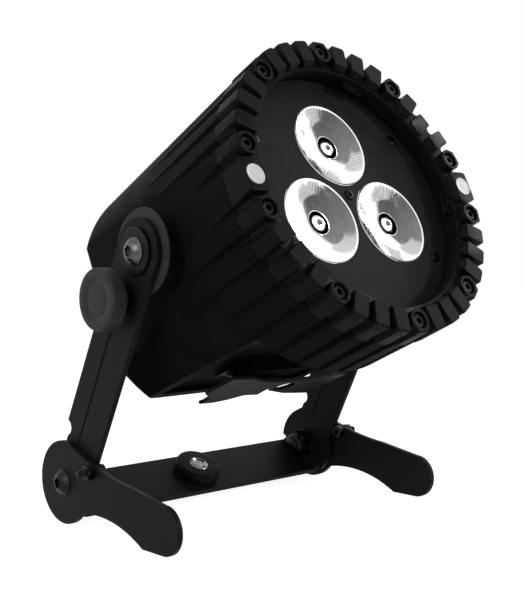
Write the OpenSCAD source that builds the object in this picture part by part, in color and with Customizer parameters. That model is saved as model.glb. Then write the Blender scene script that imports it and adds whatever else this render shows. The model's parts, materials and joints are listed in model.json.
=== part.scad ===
// Battery powered par can with three lenses, on a floor yoke with folding feet.
// Millimetres, +Z up, the beam points towards -Y and upwards.
// The origin is on the floor, in the middle of the object's outline.

/* [Stance] */
// Angle of the beam above the horizontal
beam_tilt = 25.6; // [10:0.2:40]
// Forward lean of the yoke arms
arm_lean = 27.6; // [15:0.2:32]

/* [Housing] */
// Radius of the housing at its front seam
body_front_r = 79.6; // [76:0.2:80]
// Radius of the housing at its rear edge
body_rear_r = 76.4; // [75:0.1:79]
// Distance from the tilt axis forward to the seam with the bezel
seam_ahead = 61; // [58:0.5:66]
// Distance from the tilt axis back to the rear face
rear_behind = 72; // [70:0.5:84]
// Wall thickness of the housing
wall = 3.5; // [2.5:0.1:4.5]
// Thickness of the rear cover plate
cover_t = 3; // [2.5:0.1:3.5]
// Rounding of the housing's rear edge
rear_round = 6; // [3:0.5:6]
// Depth of the side flats in from the housing's radius, at the rear face
flat_rear_in = 9; // [6:0.5:12]
// Depth of the side flats in from the housing's radius, at the seam
flat_front_in = 1.2; // [0.8:0.1:2.5]
// Height of the underside flat below the axis, at the rear face
floor_rear_u = 53; // [50:0.5:58]
// Height of the underside flat below the axis, at its front wall
floor_front_u = 58; // [54:0.5:62]
// Distance from the tilt axis forward to the front wall of the underside flat
floor_ahead = 24; // [14:0.5:30]
// Depth of the pocket inside the underside flat
pocket_deep = 3; // [1.5:0.1:4]
// Width of the lip round that pocket
lip_w = 7; // [5:0.5:10]

/* [Bezel crown] */
// How far the crown stands proud of the housing's front edge
crown_proud = 0.7; // [0.3:0.1:1.5]
// Width of the bezel from its bore to its outer radius
bezel_w = 13.3; // [12.4:0.1:14.6]
// Width of the gap that shows as a line between housing and bezel
seam_gap = 0.5; // [0.3:0.1:0.8]
// Length of the bezel from the seam to the tops of its teeth
bezel_len = 17; // [14:0.5:22]
// Height of the teeth above the bezel ring
tooth_high = 4; // [2.5:0.1:5]
// Width of a tooth
tooth_w = 8.3; // [6:0.1:9]
// Angle from one tooth to the next
tooth_pitch = 9.66; // [9.4:0.02:9.8]
// Distance of the bezel screws in from the crown's outer radius
screw_inset = 6.3; // [6:0.1:6.6]
// Depth of the grooves between the teeth, at the front
groove_deep = 3.6; // [2.5:0.1:3.8]
// Distance behind the tilt axis at which the grooves run out
groove_fade = 5; // [0:1:20]
// Width of the grooves' bottoms
groove_bottom = 2; // [1:0.1:3]
// Width of the grooves at the crown's outer radius
groove_mouth = 7.4; // [6:0.1:8]
// Radius of the light discs set in the two wide blocks
marker_r = 5.2; // [4:0.1:5.4]

/* [Optics] */
// Depth of the face plate below the tops of the teeth
face_deep = 15.1; // [12:0.1:16]
// Thickness of the face plate
face_t = 3; // [2:0.1:3]
// Distance of the lenses' outermost edges in from the bezel's bore
lens_edge = 15.2; // [14:0.1:18]
// Width of the plate between two neighbouring lenses
lens_web = 3.14; // [2.4:0.02:6]
// Height of a lens body behind the face plate
lens_high = 17; // [14:0.5:20]
// Distance of the face plate screws in from the bezel's bore
face_screw_inset = 7.8; // [7:0.1:8.8]
// Angle of the right-hand face plate screws above and below the horizontal
face_screw_a = 35.5; // [33:0.5:38]

/* [Yoke] */
// Distance from the tilt axis down to the foot pivot, along the arm
arm_length = 136.8; // [134:0.2:160]
// Distance from the housing's front radius out to the yoke's outer faces
yoke_clear = 9.1; // [8.4:0.1:14.4]
// Thickness of the yoke plate
plate_t = 3; // [2.5:0.1:3.5]
// Width of the arms
arm_w = 32; // [30:0.5:33]
// Radius of the eye at the top of each arm
eye_r = 16.4; // [16.2:0.1:19]
// Radius of the round lobe at the bottom of each arm
lobe_r = 21; // [19.5:0.1:21.5]
// Distance from the foot pivot down to the top of the crossbar
bar_drop = 9.3; // [9:0.1:12]
// Width of the crossbar
bar_w = 33; // [30:0.5:37]
// Inner radius of the bends between arms and crossbar
bend_r = 2; // [1.5:0.1:4]
// Width of the groove pressed along each arm
crease_w = 1.5; // [1:0.1:4]
// Depth of that groove
crease_deep = 0.6; // [0.3:0.1:1.2]

/* [Centre bush] */
// Radius of the bush over the crossbar
bush_r = 13.3; // [11:0.1:16]
// Height of the bush above the crossbar
bush_high = 6.4; // [5:0.1:9]
// Radius of the threaded hole in the bush
bush_hole_r = 4.25; // [3:0.05:5]

/* [Feet] */
// Thickness of the foot plates
foot_t = 3; // [2.5:0.1:3.5]
// Radius of the round end of each foot
foot_r = 22; // [21:0.1:24]
// Distance from the foot pivot forward to the centre of the toe
toe_ahead = 87; // [80:0.5:90]
// Radius of the toe
toe_r = 12; // [9:0.2:13]
// Distance from the foot pivot to the stop pin
stop_pin_d = 28.8; // [28:0.1:30]

/* [Fasteners and friction] */
// Radius of the pivot bolt shanks
bolt_r = 4; // [3:0.1:5]
// Radius of the button heads
bolt_head_r = 7; // [6:0.1:7.5]
// Height of the button heads
bolt_head_h = 4.4; // [3:0.1:5]
// Radius of the large washers
washer_r = 11.8; // [9:0.1:13]
// Thickness of the washers
washer_t = 1.6; // [1:0.1:2.5]
// Radius of the friction discs between head and arms
friction_r = 21.3; // [20:0.1:22]
// Thickness of the friction discs
friction_t = 1.2; // [0.8:0.1:2]
// Radius of the stop pin shanks
pin_r = 2; // [1.5:0.1:2.5]

/* [Lock knobs] */
// Radius of a lock knob
knob_r = 15.6; // [13:0.1:18]
// Length of the knob's grip
knob_len = 8.4; // [7:0.1:12]
// Distance from the arm's outer face to the grip
knob_stand = 6; // [5.4:0.1:10]
// Distance from the tilt axis down to the knob, along the arm
knob_drop = 27.2; // [26.6:0.1:30]
// Distance of the knob behind the arm's middle line
knob_rear = 1.8; // [0:0.2:3]
// Radius of the knob's stud
stud_r = 3; // [2.5:0.1:3.5]

/* [Rear panel] */
// Radius of the round push buttons
button_r = 4; // [3:0.1:5]
// Distance between neighbouring buttons
button_pitch = 14; // [12:0.5:16]
// Travel of a button
button_travel = 1; // [0.5:0.1:1.2]

/* [Fits] */
// Radial clearance of a pin that turns in a hole
run_gap = 0.05; // [0.02:0.01:0.1]
// Radial clearance of a screw's shank in the hole that it is driven into
screw_gap = 0.1; // [0.05:0.01:0.15]
// Gap between flat faces that move past each other
face_gap = 0.3; // [0.2:0.05:0.6]

/* [Hidden] */

$fn = 96;
black_paint = [0.085, 0.085, 0.09];
black_plastic = [0.06, 0.06, 0.065];
black_rubber = [0.045, 0.045, 0.05];
dark_steel = [0.16, 0.16, 0.17];
bright_steel = [0.62, 0.62, 0.64];
bare_alloy = [0.55, 0.56, 0.58];
board_green = [0.08, 0.26, 0.14];
lens_clear = [0.85, 0.88, 0.90];
marker_white = [0.93, 0.94, 0.92];

// small overlap that keeps a cutter's end clear of the face that it cuts
eps = 0.5;

// stations along the beam axis, forward of the tilt axis
tooth_top = seam_ahead + bezel_len;
ring_top = tooth_top - tooth_high;
face_front = tooth_top - face_deep;
face_back = face_front - face_t;
lens_back = face_front - lens_high;
cover_inner = cover_t - rear_behind;
room_back = cover_inner + 3;

// radii of the bezel, which follow the housing's front edge
crown_r = body_front_r + crown_proud;
bezel_bore_r = crown_r - bezel_w;
bezel_lip_r = bezel_bore_r - 1.6;
screw_circle_r = crown_r - screw_inset;
face_screw_r = bezel_bore_r - face_screw_inset;

// radius of the plain housing at a station
flat_rear_x = body_rear_r - flat_rear_in;
flat_front_x = body_front_r - flat_front_in;
function body_r(s) =
    body_front_r + (s - seam_ahead) * (body_front_r - body_rear_r) / (seam_ahead + rear_behind);
// half width between the side flats at a station
flat_slope = (flat_front_x - flat_rear_x) / (seam_ahead + rear_behind);
function flat_x(s) = flat_rear_x + (s + rear_behind) * flat_slope;
// slope of the underside flat against the beam axis
floor_angle = atan((floor_front_u - floor_rear_u) / (floor_ahead + rear_behind));
floor_run = (floor_ahead + rear_behind) / cos(floor_angle);

// plan of the crown
block_half_a = 90 - 8.5 * tooth_pitch;
plain_inner_r = bezel_lip_r + 1.2;
screw_pad_r = 5.8;
seam_deep = 4;
screw_head_r = 3.5;
screw_head_h = 4;
screw_shank_r = 2;
small_shank_r = 1.45;
cover_head_r = 2.4;
face_screw_len = 5;
bracket_screw_len = 3;
counterbore_r = 4.3;
counterbore_floor = ring_top - 1;
marker_t = 1.5;
gasket_out_r = screw_circle_r - screw_shank_r - 0.85;
gasket_in_r = gasket_out_r - 1.9;

// yoke stations, measured down the arm from the tilt axis
yoke_half_w = body_front_r + yoke_clear;
bar_top = arm_length + bar_drop;
bar_bottom = bar_top + plate_t;
arm_in_x = yoke_half_w - plate_t;
arm_mid_x = yoke_half_w - plate_t / 2;
knob_back_x = yoke_half_w + knob_stand;
rub_t = 0.7;
foot_in_x = yoke_half_w + face_gap + rub_t;
foot_out_x = foot_in_x + foot_t;
friction_out_x = arm_in_x - face_gap;
friction_in_x = friction_out_x - friction_t;

// stop pin: it meets the arm's front edge at rest and swings into the rear notch when folded
pin_head_r = 3.5;
pin_head_h = 4;
notch_side = arm_w / 2 - 0.8;
notch_r = pin_head_r + 0.6;
neck_side = arm_w / 2 - 3.4;
pin_side = arm_w / 2 + pin_head_r + face_gap;
pin_from_arm_a = asin(pin_side / stop_pin_d);
notch_from_arm_a = asin(notch_side / stop_pin_d);
pin_a = 90 - arm_lean - pin_from_arm_a;

// where the pivot stands over the floor, and the outline's middle
pivot_z = arm_length * cos(arm_lean) + foot_r;
front_reach = tooth_top * cos(beam_tilt) + crown_r * sin(beam_tilt) - 0.7;
rear_reach = (rear_behind - rear_round) * cos(beam_tilt)
    + (body_r(rear_round - rear_behind) - rear_round) * sin(beam_tilt) + rear_round;
pivot_y = (front_reach - rear_reach) / 2;
foot_pivot_y = pivot_y + arm_length * sin(arm_lean);
foot_pivot_z = foot_r;

// lenses: as large as the bore, the edge and the webs between them leave
lens_circle_r = (bezel_bore_r - lens_edge + lens_web / 2) / (1 + sin(60));
lens_r = lens_circle_r * sin(60) - lens_web / 2;

// inner pieces
flange_bore_r = lens_circle_r + lens_r + 1.8;
led_board_r = lens_circle_r + lens_r - 1.8;
flange_back = face_back - 9.5;
sink_r = min(body_front_r, body_rear_r) - 6.4;
sink_front = lens_back - 1.9;
sink_back = sink_front - 8;
fin_len = 15;
board_t = 1.6;
post_x = 46;
post_u = 34;
post_r = 3;
cell_r = 9.2;
cell_len = 65;
cell_step = 19;
pack_mid_s = -14.5;
driver_front = -50;
control_front = -61.9;
pivot_boss_r = 18.3;
// the cast seats for the spacers end in one flat face, clear of the sloping side flats
seat_x = flat_x(pivot_boss_r) + 0.6;

// Frames of reference

// head: X to the side, Y up across the beam, Z forward along the beam
module head_frame() {
    translate([0, pivot_y, pivot_z])
        rotate([90 - beam_tilt, 0, 0])
            children();
}

// yoke: X to the side, Y to the rear, Z up along the arms, from the tilt axis
module yoke_frame() {
    translate([0, pivot_y, pivot_z])
        rotate([arm_lean, 0, 0])
            children();
}

// foot: X forward, Y up, Z outwards, from the foot pivot on the foot's inner face
module foot_frame(side) {
    translate([side * foot_in_x, foot_pivot_y, foot_pivot_z])
        multmatrix([[0, 0, side, 0], [-1, 0, 0, 0], [0, 1, 0, 0], [0, 0, 0, 1]])
            children();
}

// turns a shape made along Z so that it points to the left or right side
module to_side(side) {
    rotate([0, side * 90, 0])
        children();
}

// underside: Z forward along the flat, Y up into the housing, from the front wall's foot
module floor_frame() {
    translate([0, -floor_front_u, floor_ahead])
        rotate([floor_angle, 0, 0])
            children();
}

// angles of the crown's narrow positions, of its screws and of its grooves
tooth_steps = [-8 : 8];
function tooth_angle(half, k) = half * (90 + k * tooth_pitch);
function is_screw(k) = (k % 4) == 0;
low_tooth = -6;

// Shared cutters

// section of one groove, outwards along X: soft slopes down to a rounded bottom
module groove_section() {
    polygon([[0, -groove_bottom / 2], [0.9, -groove_bottom / 2 - 0.9],
             [groove_deep, -groove_mouth / 2], [groove_deep + 3, -groove_mouth / 2 - 2.2],
             [groove_deep + 3, groove_mouth / 2 + 2.2], [groove_deep, groove_mouth / 2],
             [0.9, groove_bottom / 2 + 0.9], [0, groove_bottom / 2]]);
}

// grooves between the teeth: they run back over the housing and fade out
module crown_grooves() {
    run = tooth_top + groove_fade;
    bottom_r = crown_r - groove_deep;
    rise = (body_r(-groove_fade) - bottom_r) / run;
    for (half = [-1, 1]) {
        for (k = [-9 : 8]) {
            rotate([0, 0, half * (90 + (k + 0.5) * tooth_pitch)])
                translate([bottom_r, 0, tooth_top])
                    rotate([0, -atan(rise), 0])
                        translate([0, 0, -1.15 * run])
                            linear_extrude(1.15 * run + 3)
                                groove_section();
        }
    }
}

// the flat cut across the underside, behind its front wall
module underside_cut() {
    floor_frame()
        translate([0, -25, -(floor_run + 10) / 2])
            cube([200, 50, floor_run + 10], center = true);
}

// stacked hexagon, given across its flats
module hexagon(flats, high) {
    cylinder(r = flats / sqrt(3), h = high, $fn = 6);
}

// Head

// outer form of the die-cast body, rounded round its rear edge
module body_form() {
    round_s = rear_round - rear_behind;
    edge_r = body_r(round_s);
    difference() {
        intersection() {
            rotate_extrude() {
                polygon([[0, round_s], [edge_r, round_s],
                         [body_r(seam_ahead), seam_ahead], [0, seam_ahead]]);
                translate([0, -rear_behind])
                    square([edge_r - rear_round, rear_round + eps]);
                translate([edge_r - rear_round, round_s])
                    circle(r = rear_round, $fn = 64);
            }
            rotate([90, 0, 0])
                translate([0, 0, -100])
                    linear_extrude(200)
                        flats_plan();
        }
        underside_cut();
    }
}

// plan of the body between its side flats, with rounded rear corners
module flats_plan() {
    a = atan(flat_slope);
    round_s = rear_round - rear_behind;
    mid_x = flat_x(round_s) - rear_round / cos(a);
    side_x = mid_x + rear_round * cos(a);
    side_s = round_s - rear_round * sin(a);
    front_x = flat_x(tooth_top);
    polygon([[mid_x, -rear_behind], [side_x, side_s], [front_x, tooth_top],
             [-front_x, tooth_top], [-side_x, side_s], [-mid_x, -rear_behind]]);
    for (side = [-1, 1]) {
        translate([side * mid_x, round_s])
            circle(r = rear_round, $fn = 64);
    }
}

// plan of the rear cover, one step in from the body's outline
module rear_plan(inset) {
    half = flat_rear_x - 7 - inset;
    intersection() {
        circle(r = body_rear_r - rear_round - 3 - inset);
        translate([-half, inset + 8 - floor_rear_u])
            square([2 * half, 200]);
    }
}

// room inside the body, one wall in from its faces
module body_room() {
    back = room_back;
    difference() {
        translate([0, 0, back])
            cylinder(r1 = body_r(back) - wall - 0.6, r2 = body_r(flange_back) - wall - 0.6,
                     h = flange_back - back);
        for (side = [-1, 1]) {
            multmatrix([[1, 0, side * flat_slope, side * (flat_x(0) - wall)],
                        [0, 1, 0, 0], [0, 0, 1, 0], [0, 0, 0, 1]])
                translate([side * 20, 0, 0])
                    cube([40, 160, 160], center = true);
        }
        floor_frame()
            translate([0, pocket_deep + wall - 30, wall - floor_run / 2 - 10])
                cube([200, 60, floor_run + 20], center = true);
        for (side = [-1, 1]) {
            to_side(side)
                translate([0, 0, flat_x(0) - wall - 11])
                    cylinder(r = 9, h = 20);
        }
    }
}

module housing() {
    color(black_paint) head_frame() {
        difference() {
            union() {
                difference() {
                    body_form();
                    crown_grooves();
                }
                for (side = [-1, 1]) {
                    to_side(side)
                        translate([0, 0, flat_x(0) - 3])
                            cylinder(r = pivot_boss_r, h = seat_x - flat_x(0) + 3);
                }
            }
            body_room();
            // mouth: a ledge for the face plate over the narrower flange
            translate([0, 0, face_back])
                cylinder(r = bezel_bore_r, h = seam_ahead - face_back + eps);
            translate([0, 0, flange_back - eps])
                cylinder(r = flange_bore_r, h = face_back - flange_back + 2 * eps);
            // gasket groove round the mouth
            translate([0, 0, seam_ahead - 1.5])
                difference() {
                    cylinder(r = gasket_out_r + 0.05, h = 2);
                    translate([0, 0, -eps])
                        cylinder(r = gasket_in_r - 0.05, h = 3);
                }
            bezel_screw_places()
                translate([0, 0, seam_ahead - 8])
                    cylinder(r = screw_shank_r + screw_gap, h = 8 + eps, $fn = 32);
            face_screw_places()
                translate([0, 0, face_back - 6])
                    cylinder(r = small_shank_r + screw_gap, h = face_screw_len + 1 + eps, $fn = 24);
            // opening in the rear, with a ledge for the cover plate
            translate([0, 0, -rear_behind - 1])
                linear_extrude(cover_t + 1)
                    rear_plan(0);
            translate([0, 0, cover_inner - eps])
                linear_extrude(4)
                    rear_plan(5);
            rear_screw_places()
                translate([0, 0, cover_inner - eps])
                    cylinder(r = small_shank_r + screw_gap, h = 12, $fn = 24);
            // blind threaded holes for the pivot bolts
            for (side = [-1, 1]) {
                to_side(side)
                    translate([0, 0, friction_in_x - 20])
                        cylinder(r = bolt_r + run_gap, h = 21);
            }
            // pocket inside the underside flat, with its round socket hole
            floor_frame()
                pocket_form();
            floor_frame()
                socket_place()
                    translate([0, 0, -2])
                        cylinder(r = 6, h = pocket_deep + wall + 4);
            floor_frame()
                bracket_screw_places()
                    translate([0, 0, -1])
                        cylinder(r = small_shank_r + screw_gap, h = pocket_deep + wall, $fn = 24);
        }
        // screw posts for the rear cover, cast on its ledge
        difference() {
            rear_screw_places()
                translate([0, 0, room_back - eps])
                    cylinder(r = 4, h = 8, $fn = 32);
            rear_screw_places()
                translate([0, 0, cover_inner - eps])
                    cylinder(r = small_shank_r + screw_gap, h = 10, $fn = 24);
        }
    }
}

// pocket in the underside flat: it keeps a lip of one width along both long edges
module pocket_form() {
    half = sqrt(pow(body_rear_r, 2) - pow(floor_rear_u, 2)) - lip_w;
    translate([-half, -eps, -(floor_run - lip_w)])
        cube([2 * half, pocket_deep + eps, floor_run - 2 * lip_w]);
}

module bezel_screw_places() {
    for (half = [-1, 1]) {
        for (k = tooth_steps) {
            if (is_screw(k))
                rotate([0, 0, tooth_angle(half, k)])
                    translate([screw_circle_r, 0, 0])
                        children();
        }
    }
}

module face_screw_places() {
    for (a = [face_screw_a, -face_screw_a, 152, 208]) {
        rotate([0, 0, a])
            translate([face_screw_r, 0, 0])
                children();
    }
}

// six screws along the edge of the rear cover
module rear_screw_places() {
    ring = body_rear_r - rear_round - 6;
    low = floor_rear_u - 11;
    for (side = [-1, 1]) {
        translate([side * ring * cos(50), ring * sin(50), 0])
            children();
        translate([side * (flat_rear_x - 10), 0, 0])
            children();
        translate([side * min(sqrt(ring * ring - low * low) - 1, flat_rear_x - 10), -low, 0])
            children();
    }
}

// charge socket in the pocket's floor
socket_x = -5;
socket_back = 46;
module socket_place() {
    translate([socket_x, pocket_deep, -socket_back])
        rotate([-90, 0, 0])
            children();
}

module bracket_screw_places() {
    for (x = [-20, -4]) {
        translate([x, pocket_deep, -riser_back - 8.5])
            rotate([-90, 0, 0])
                children();
    }
}

module bezel_gasket() {
    color(black_rubber) head_frame()
        translate([0, 0, seam_ahead - 1.5])
            difference() {
                cylinder(r = gasket_out_r, h = 1.5);
                translate([0, 0, -eps])
                    cylinder(r = gasket_in_r, h = 3);
            }
}

// plan of one narrow tooth, outwards along X: a screw sits in a round pad
module tooth_plan(screw) {
    inner = screw ? screw_circle_r : plain_inner_r + 2;
    translate([inner, -tooth_w / 2])
        square([crown_r + 2 - inner, tooth_w]);
    if (screw) {
        translate([screw_circle_r, 0])
            circle(r = screw_pad_r, $fn = 48);
    } else {
        translate([plain_inner_r, 2 - tooth_w / 2])
            square([3, tooth_w - 4]);
        for (side = [-1, 1]) {
            translate([inner, side * (tooth_w / 2 - 2)])
                circle(r = 2, $fn = 32);
        }
    }
}

// plan of a wide block that carries a light disc
module block_plan() {
    half_w = crown_r * sin(block_half_a) - 2.6;
    translate([plain_inner_r, 3 - half_w])
        square([crown_r + 2 - plain_inner_r, 2 * half_w - 6]);
    translate([plain_inner_r + 3, -half_w])
        square([crown_r - 1 - plain_inner_r, 2 * half_w]);
    for (side = [-1, 1]) {
        translate([plain_inner_r + 3, side * (half_w - 3)])
            circle(r = 3, $fn = 32);
    }
}

module crown_plan() {
    for (half = [-1, 1]) {
        for (k = tooth_steps) {
            if (!(half == 1 && k == low_tooth))
                rotate(tooth_angle(half, k))
                    tooth_plan(is_screw(k));
        }
        rotate(90 - half * 90)
            block_plan();
    }
}

// envelope of the bezel: an open seam behind its edge, a lip round its bore,
// and a chamfer round its outer front edge
module bezel_envelope(s_back, s_front, chamfer) {
    rotate_extrude()
        polygon([[bezel_bore_r, s_back], [crown_r - seam_deep, s_back],
                 [crown_r - seam_deep, s_back + seam_gap], [crown_r - 0.4, s_back + seam_gap],
                 [crown_r, s_back + seam_gap + 0.4],
                 [crown_r, s_front - chamfer], [crown_r - chamfer, s_front],
                 [bezel_lip_r + 0.5, s_front], [bezel_lip_r, s_front - 0.5],
                 [bezel_lip_r, ring_top - 6], [bezel_bore_r, face_front + 1.5]]);
}

module bezel_ring() {
    color(black_plastic) head_frame()
        difference() {
            union() {
                bezel_envelope(seam_ahead, ring_top, 0.8);
                intersection() {
                    bezel_envelope(seam_ahead, tooth_top, 0.7);
                    translate([0, 0, ring_top - eps])
                        linear_extrude(tooth_high + 2 * eps)
                            crown_plan();
                }
                // the one low tooth
                intersection() {
                    bezel_envelope(seam_ahead, ring_top + tooth_high / 3, 0.5);
                    translate([0, 0, ring_top - eps])
                        linear_extrude(tooth_high)
                            rotate(tooth_angle(1, low_tooth))
                                tooth_plan(false);
                }
            }
            crown_grooves();
            bezel_screw_places() {
                translate([0, 0, seam_ahead - eps])
                    cylinder(r = screw_shank_r + 0.2, h = bezel_len, $fn = 32);
                translate([0, 0, counterbore_floor])
                    cylinder(r = counterbore_r, h = bezel_len, $fn = 48);
            }
            for (side = [-1, 1]) {
                translate([side * screw_circle_r, 0, tooth_top - marker_t])
                    cylinder(r = marker_r, h = 5);
                multmatrix([[1, 0, side * flat_slope, side * flat_x(0)],
                            [0, 1, 0, 0], [0, 0, 1, 0], [0, 0, 0, 1]])
                    translate([side * 20, 0, tooth_top])
                        cube([40, 40, 4 * bezel_len], center = true);
            }
        }
}

module bezel_screws() {
    shank_len = counterbore_floor - seam_ahead + 7;
    color(dark_steel) head_frame()
        bezel_screw_places()
            translate([0, 0, counterbore_floor])
                difference() {
                    union() {
                        cylinder(r = screw_head_r, h = screw_head_h, $fn = 48);
                        translate([0, 0, -shank_len])
                            cylinder(r = screw_shank_r, h = shank_len + eps, $fn = 32);
                    }
                    translate([0, 0, screw_head_h - 2])
                        hexagon(3, 3);
                }
}

module marker_discs() {
    color(marker_white) head_frame()
        for (side = [-1, 1]) {
            translate([side * screw_circle_r, 0, tooth_top - marker_t])
                cylinder(r = marker_r - 0.1, h = marker_t + 0.2);
        }
}

// lugs on the recess wall that hold a filter over the lenses
clip_angles = [69.5, -6.5, 173.5, 249.5];
module filter_clips() {
    color(dark_steel) head_frame()
        for (a = clip_angles) {
            rotate([0, 0, a - 5.7]) {
                translate([0, 0, ring_top - 5.8])
                    rotate_extrude(angle = 11.4)
                        translate([bezel_lip_r - 0.8, 0])
                            square([0.8, 3.6]);
                translate([0, 0, ring_top - 4.4])
                    rotate_extrude(angle = 11.4)
                        translate([bezel_lip_r - 4.2, 0])
                            square([4, 1.2]);
            }
        }
}

module lens_places() {
    for (a = [90, 210, 330]) {
        rotate([0, 0, a])
            translate([lens_circle_r, 0, 0])
                children();
    }
}

module face_plate() {
    color(black_paint) head_frame()
        translate([0, 0, face_back])
            difference() {
                cylinder(r = bezel_bore_r - 0.2, h = face_t);
                lens_places()
                    translate([0, 0, -eps])
                        cylinder(r = lens_r + 0.15, h = face_t + 2 * eps);
                face_screw_places()
                    translate([0, 0, -eps])
                        cylinder(r = 1.7, h = face_t + 2 * eps, $fn = 24);
                translate([0, 0, -eps])
                    cylinder(r = 1.7, h = face_t + 2 * eps, $fn = 24);
            }
}

module face_plate_screws() {
    color(dark_steel) head_frame() {
        face_screw_places()
            face_screw(face_screw_len);
        // the middle screw holds the plate to the board's centre post
        face_screw(face_screw_len);
        translate([0, 0, sink_front + board_t])
            difference() {
                cylinder(r = 3, h = face_back - sink_front - board_t, $fn = 32);
                translate([0, 0, face_back - sink_front - board_t - face_screw_len - 1])
                    cylinder(r = small_shank_r + screw_gap, h = face_screw_len + 2, $fn = 24);
            }
    }
}

module face_screw(depth) {
    difference() {
        union() {
            translate([0, 0, face_back - depth])
                cylinder(r = small_shank_r, h = depth + face_t, $fn = 24);
            translate([0, 0, face_front])
                cylinder(r = 2.8, h = 1.2, $fn = 32);
        }
        translate([0, 0, face_front + 0.5])
            hexagon(2, 1);
    }
}

// one lens: a shallow dish with a well and a dome in front, a cone behind
module lens_body() {
    rotate_extrude()
        polygon([[0, lens_back + 5], [5, lens_back + 5], [6, lens_back], [9, lens_back],
                 [lens_r - 1.5, face_back - 1.2], [lens_r, face_back + 0.3],
                 [lens_r, face_front], [lens_r - 0.8, face_front], [7.2, face_front - 2.8],
                 [6.2, face_front - 2.8], [5.8, face_front - 6], [4.8, face_front - 6],
                 [4.6, face_front - 3.6], [3.6, face_front - 2.2], [2, face_front - 1.4],
                 [0, face_front - 1.1]]);
    // three legs that stand on the board
    for (a = [60, 180, 300]) {
        rotate([0, 0, a])
            translate([11.5, 0, lens_back - 0.3])
                cylinder(r = 1.5, h = 4, $fn = 24);
    }
}

module lens_at(a) {
    color(lens_clear) head_frame()
        rotate([0, 0, a])
            translate([lens_circle_r, 0, 0])
                rotate([0, 0, -a])
                    lens_body();
}

module lens_top() {
    lens_at(90);
}

module lens_left() {
    lens_at(210);
}

module lens_right() {
    lens_at(330);
}

module led_emitters() {
    color(marker_white) head_frame()
        lens_places()
            translate([0, 0, sink_front + board_t])
                union() {
                    translate([-3.5, -3.5, 0])
                        cube([7, 7, 1]);
                    cylinder(r = 3, h = 1.6);
                    translate([0, 0, 1.6])
                        scale_dome(3, 1.4);
                }
}

// shallow turned dome, given by its foot radius and its height
module scale_dome(foot, high) {
    round_r = (foot * foot + high * high) / (2 * high);
    translate([0, 0, high - round_r])
        intersection() {
            sphere(r = round_r);
            translate([0, 0, round_r - high])
                cylinder(r = foot, h = high + 1);
        }
}

module led_board() {
    color(board_green) head_frame()
        translate([0, 0, sink_front])
            difference() {
                cylinder(r = led_board_r, h = board_t);
                translate([0, 0, -eps])
                    cylinder(r = 1.6, h = 3, $fn = 24);
            }
}

module heat_sink() {
    color(bare_alloy) head_frame()
        difference() {
            union() {
                translate([0, 0, sink_back])
                    cylinder(r = sink_r, h = sink_front - sink_back);
                translate([0, 0, sink_front - eps])
                    difference() {
                        cylinder(r = sink_r, h = flange_back - sink_front + eps);
                        translate([0, 0, -1])
                            cylinder(r = led_board_r + 6, h = flange_back - sink_front + 3);
                    }
                for (i = [-5 : 5]) {
                    translate([8 * i - 1, -36, sink_back - fin_len])
                        cube([2, 78, fin_len + eps]);
                }
            }
            for (x = [-post_x, post_x]) {
                for (u = [-post_u, post_u]) {
                    translate([x, u, sink_back - 1])
                        cylinder(r = 2, h = 7, $fn = 24);
                }
            }
        }
}

// four posts from the heat sink back to the driver board
module chassis_posts() {
    color(bright_steel) head_frame()
        for (x = [-post_x, post_x]) {
            for (u = [-post_u, post_u]) {
                translate([x, u, driver_front])
                    cylinder(r = post_r, h = sink_back - driver_front, $fn = 32);
                translate([x, u, sink_back - eps])
                    cylinder(r = 1.95, h = 5, $fn = 24);
            }
        }
}

cell_columns = [-1 : 1];
cell_rows = [-1.5 : 1 : 1.5];
module cell_places() {
    for (i = cell_columns) {
        for (j = cell_rows) {
            translate([0, j * cell_step, pack_mid_s + i * cell_step])
                rotate([0, 90, 0])
                    children();
        }
    }
}

module battery_cells() {
    color([0.10, 0.22, 0.42]) head_frame()
        cell_places()
            cylinder(r = cell_r, h = cell_len - 0.4, center = true);
}

// two end plates with seats for the cells and lugs on the posts
module battery_holder() {
    color(black_plastic) head_frame()
        for (side = [-1, 1]) {
            difference() {
                union() {
                    translate([side * (cell_len / 2 - 0.5), 0, pack_mid_s])
                        cube([7, 4 * cell_step + 4, 3 * cell_step + 3], center = true);
                    for (u = [-post_u, post_u]) {
                        translate([side * (cell_len / 2 + 8), u, pack_mid_s])
                            cube([14, 10, 8], center = true);
                        translate([side * post_x, u, pack_mid_s - 4])
                            cylinder(r = 6, h = 8, $fn = 48);
                    }
                }
                cell_places()
                    cylinder(r = cell_r + 0.1, h = cell_len, center = true);
                for (u = [-post_u, post_u]) {
                    translate([side * post_x, u, pack_mid_s - 10])
                        cylinder(r = post_r + 0.05, h = 20, $fn = 32);
                }
            }
        }
}

module driver_board() {
    color(board_green) head_frame() {
        difference() {
            translate([-post_x - 8, -post_u - 9, driver_front - board_t])
                cube([2 * post_x + 16, 2 * post_u + 18, board_t]);
            for (x = [-post_x, post_x]) {
                for (u = [-post_u, post_u]) {
                    translate([x, u, driver_front - board_t - 1])
                        cylinder(r = 1.6, h = 4, $fn = 24);
                }
            }
        }
        translate([-38, -20, driver_front - board_t - 6])
            cube([22, 20, 6.1]);
        translate([-8, 6, driver_front - board_t - 5])
            cube([14, 14, 5.1]);
        for (i = [0 : 3]) {
            translate([18 + 7 * i, -14, driver_front - board_t - 7])
                cylinder(r = 3, h = 7.1, $fn = 24);
        }
        // hex nuts on the posts' threaded ends
        for (x = [-post_x, post_x]) {
            for (u = [-post_u, post_u]) {
                translate([x, u, driver_front - board_t - 2.4])
                    hexagon(5.5, 2.5);
            }
        }
    }
}

panel_post_x = 34;
panel_post_u = 20;
button_u = -14;
display_u = 8;
display_w = 34;
display_h = 18;
panel_deep = 1;
window_deep = 2;
window_t = 0.9;
button_flange_r = button_r + 1.5;
// from the rear cover's inner face to the control board
panel_room = control_front - board_t - cover_inner;

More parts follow.
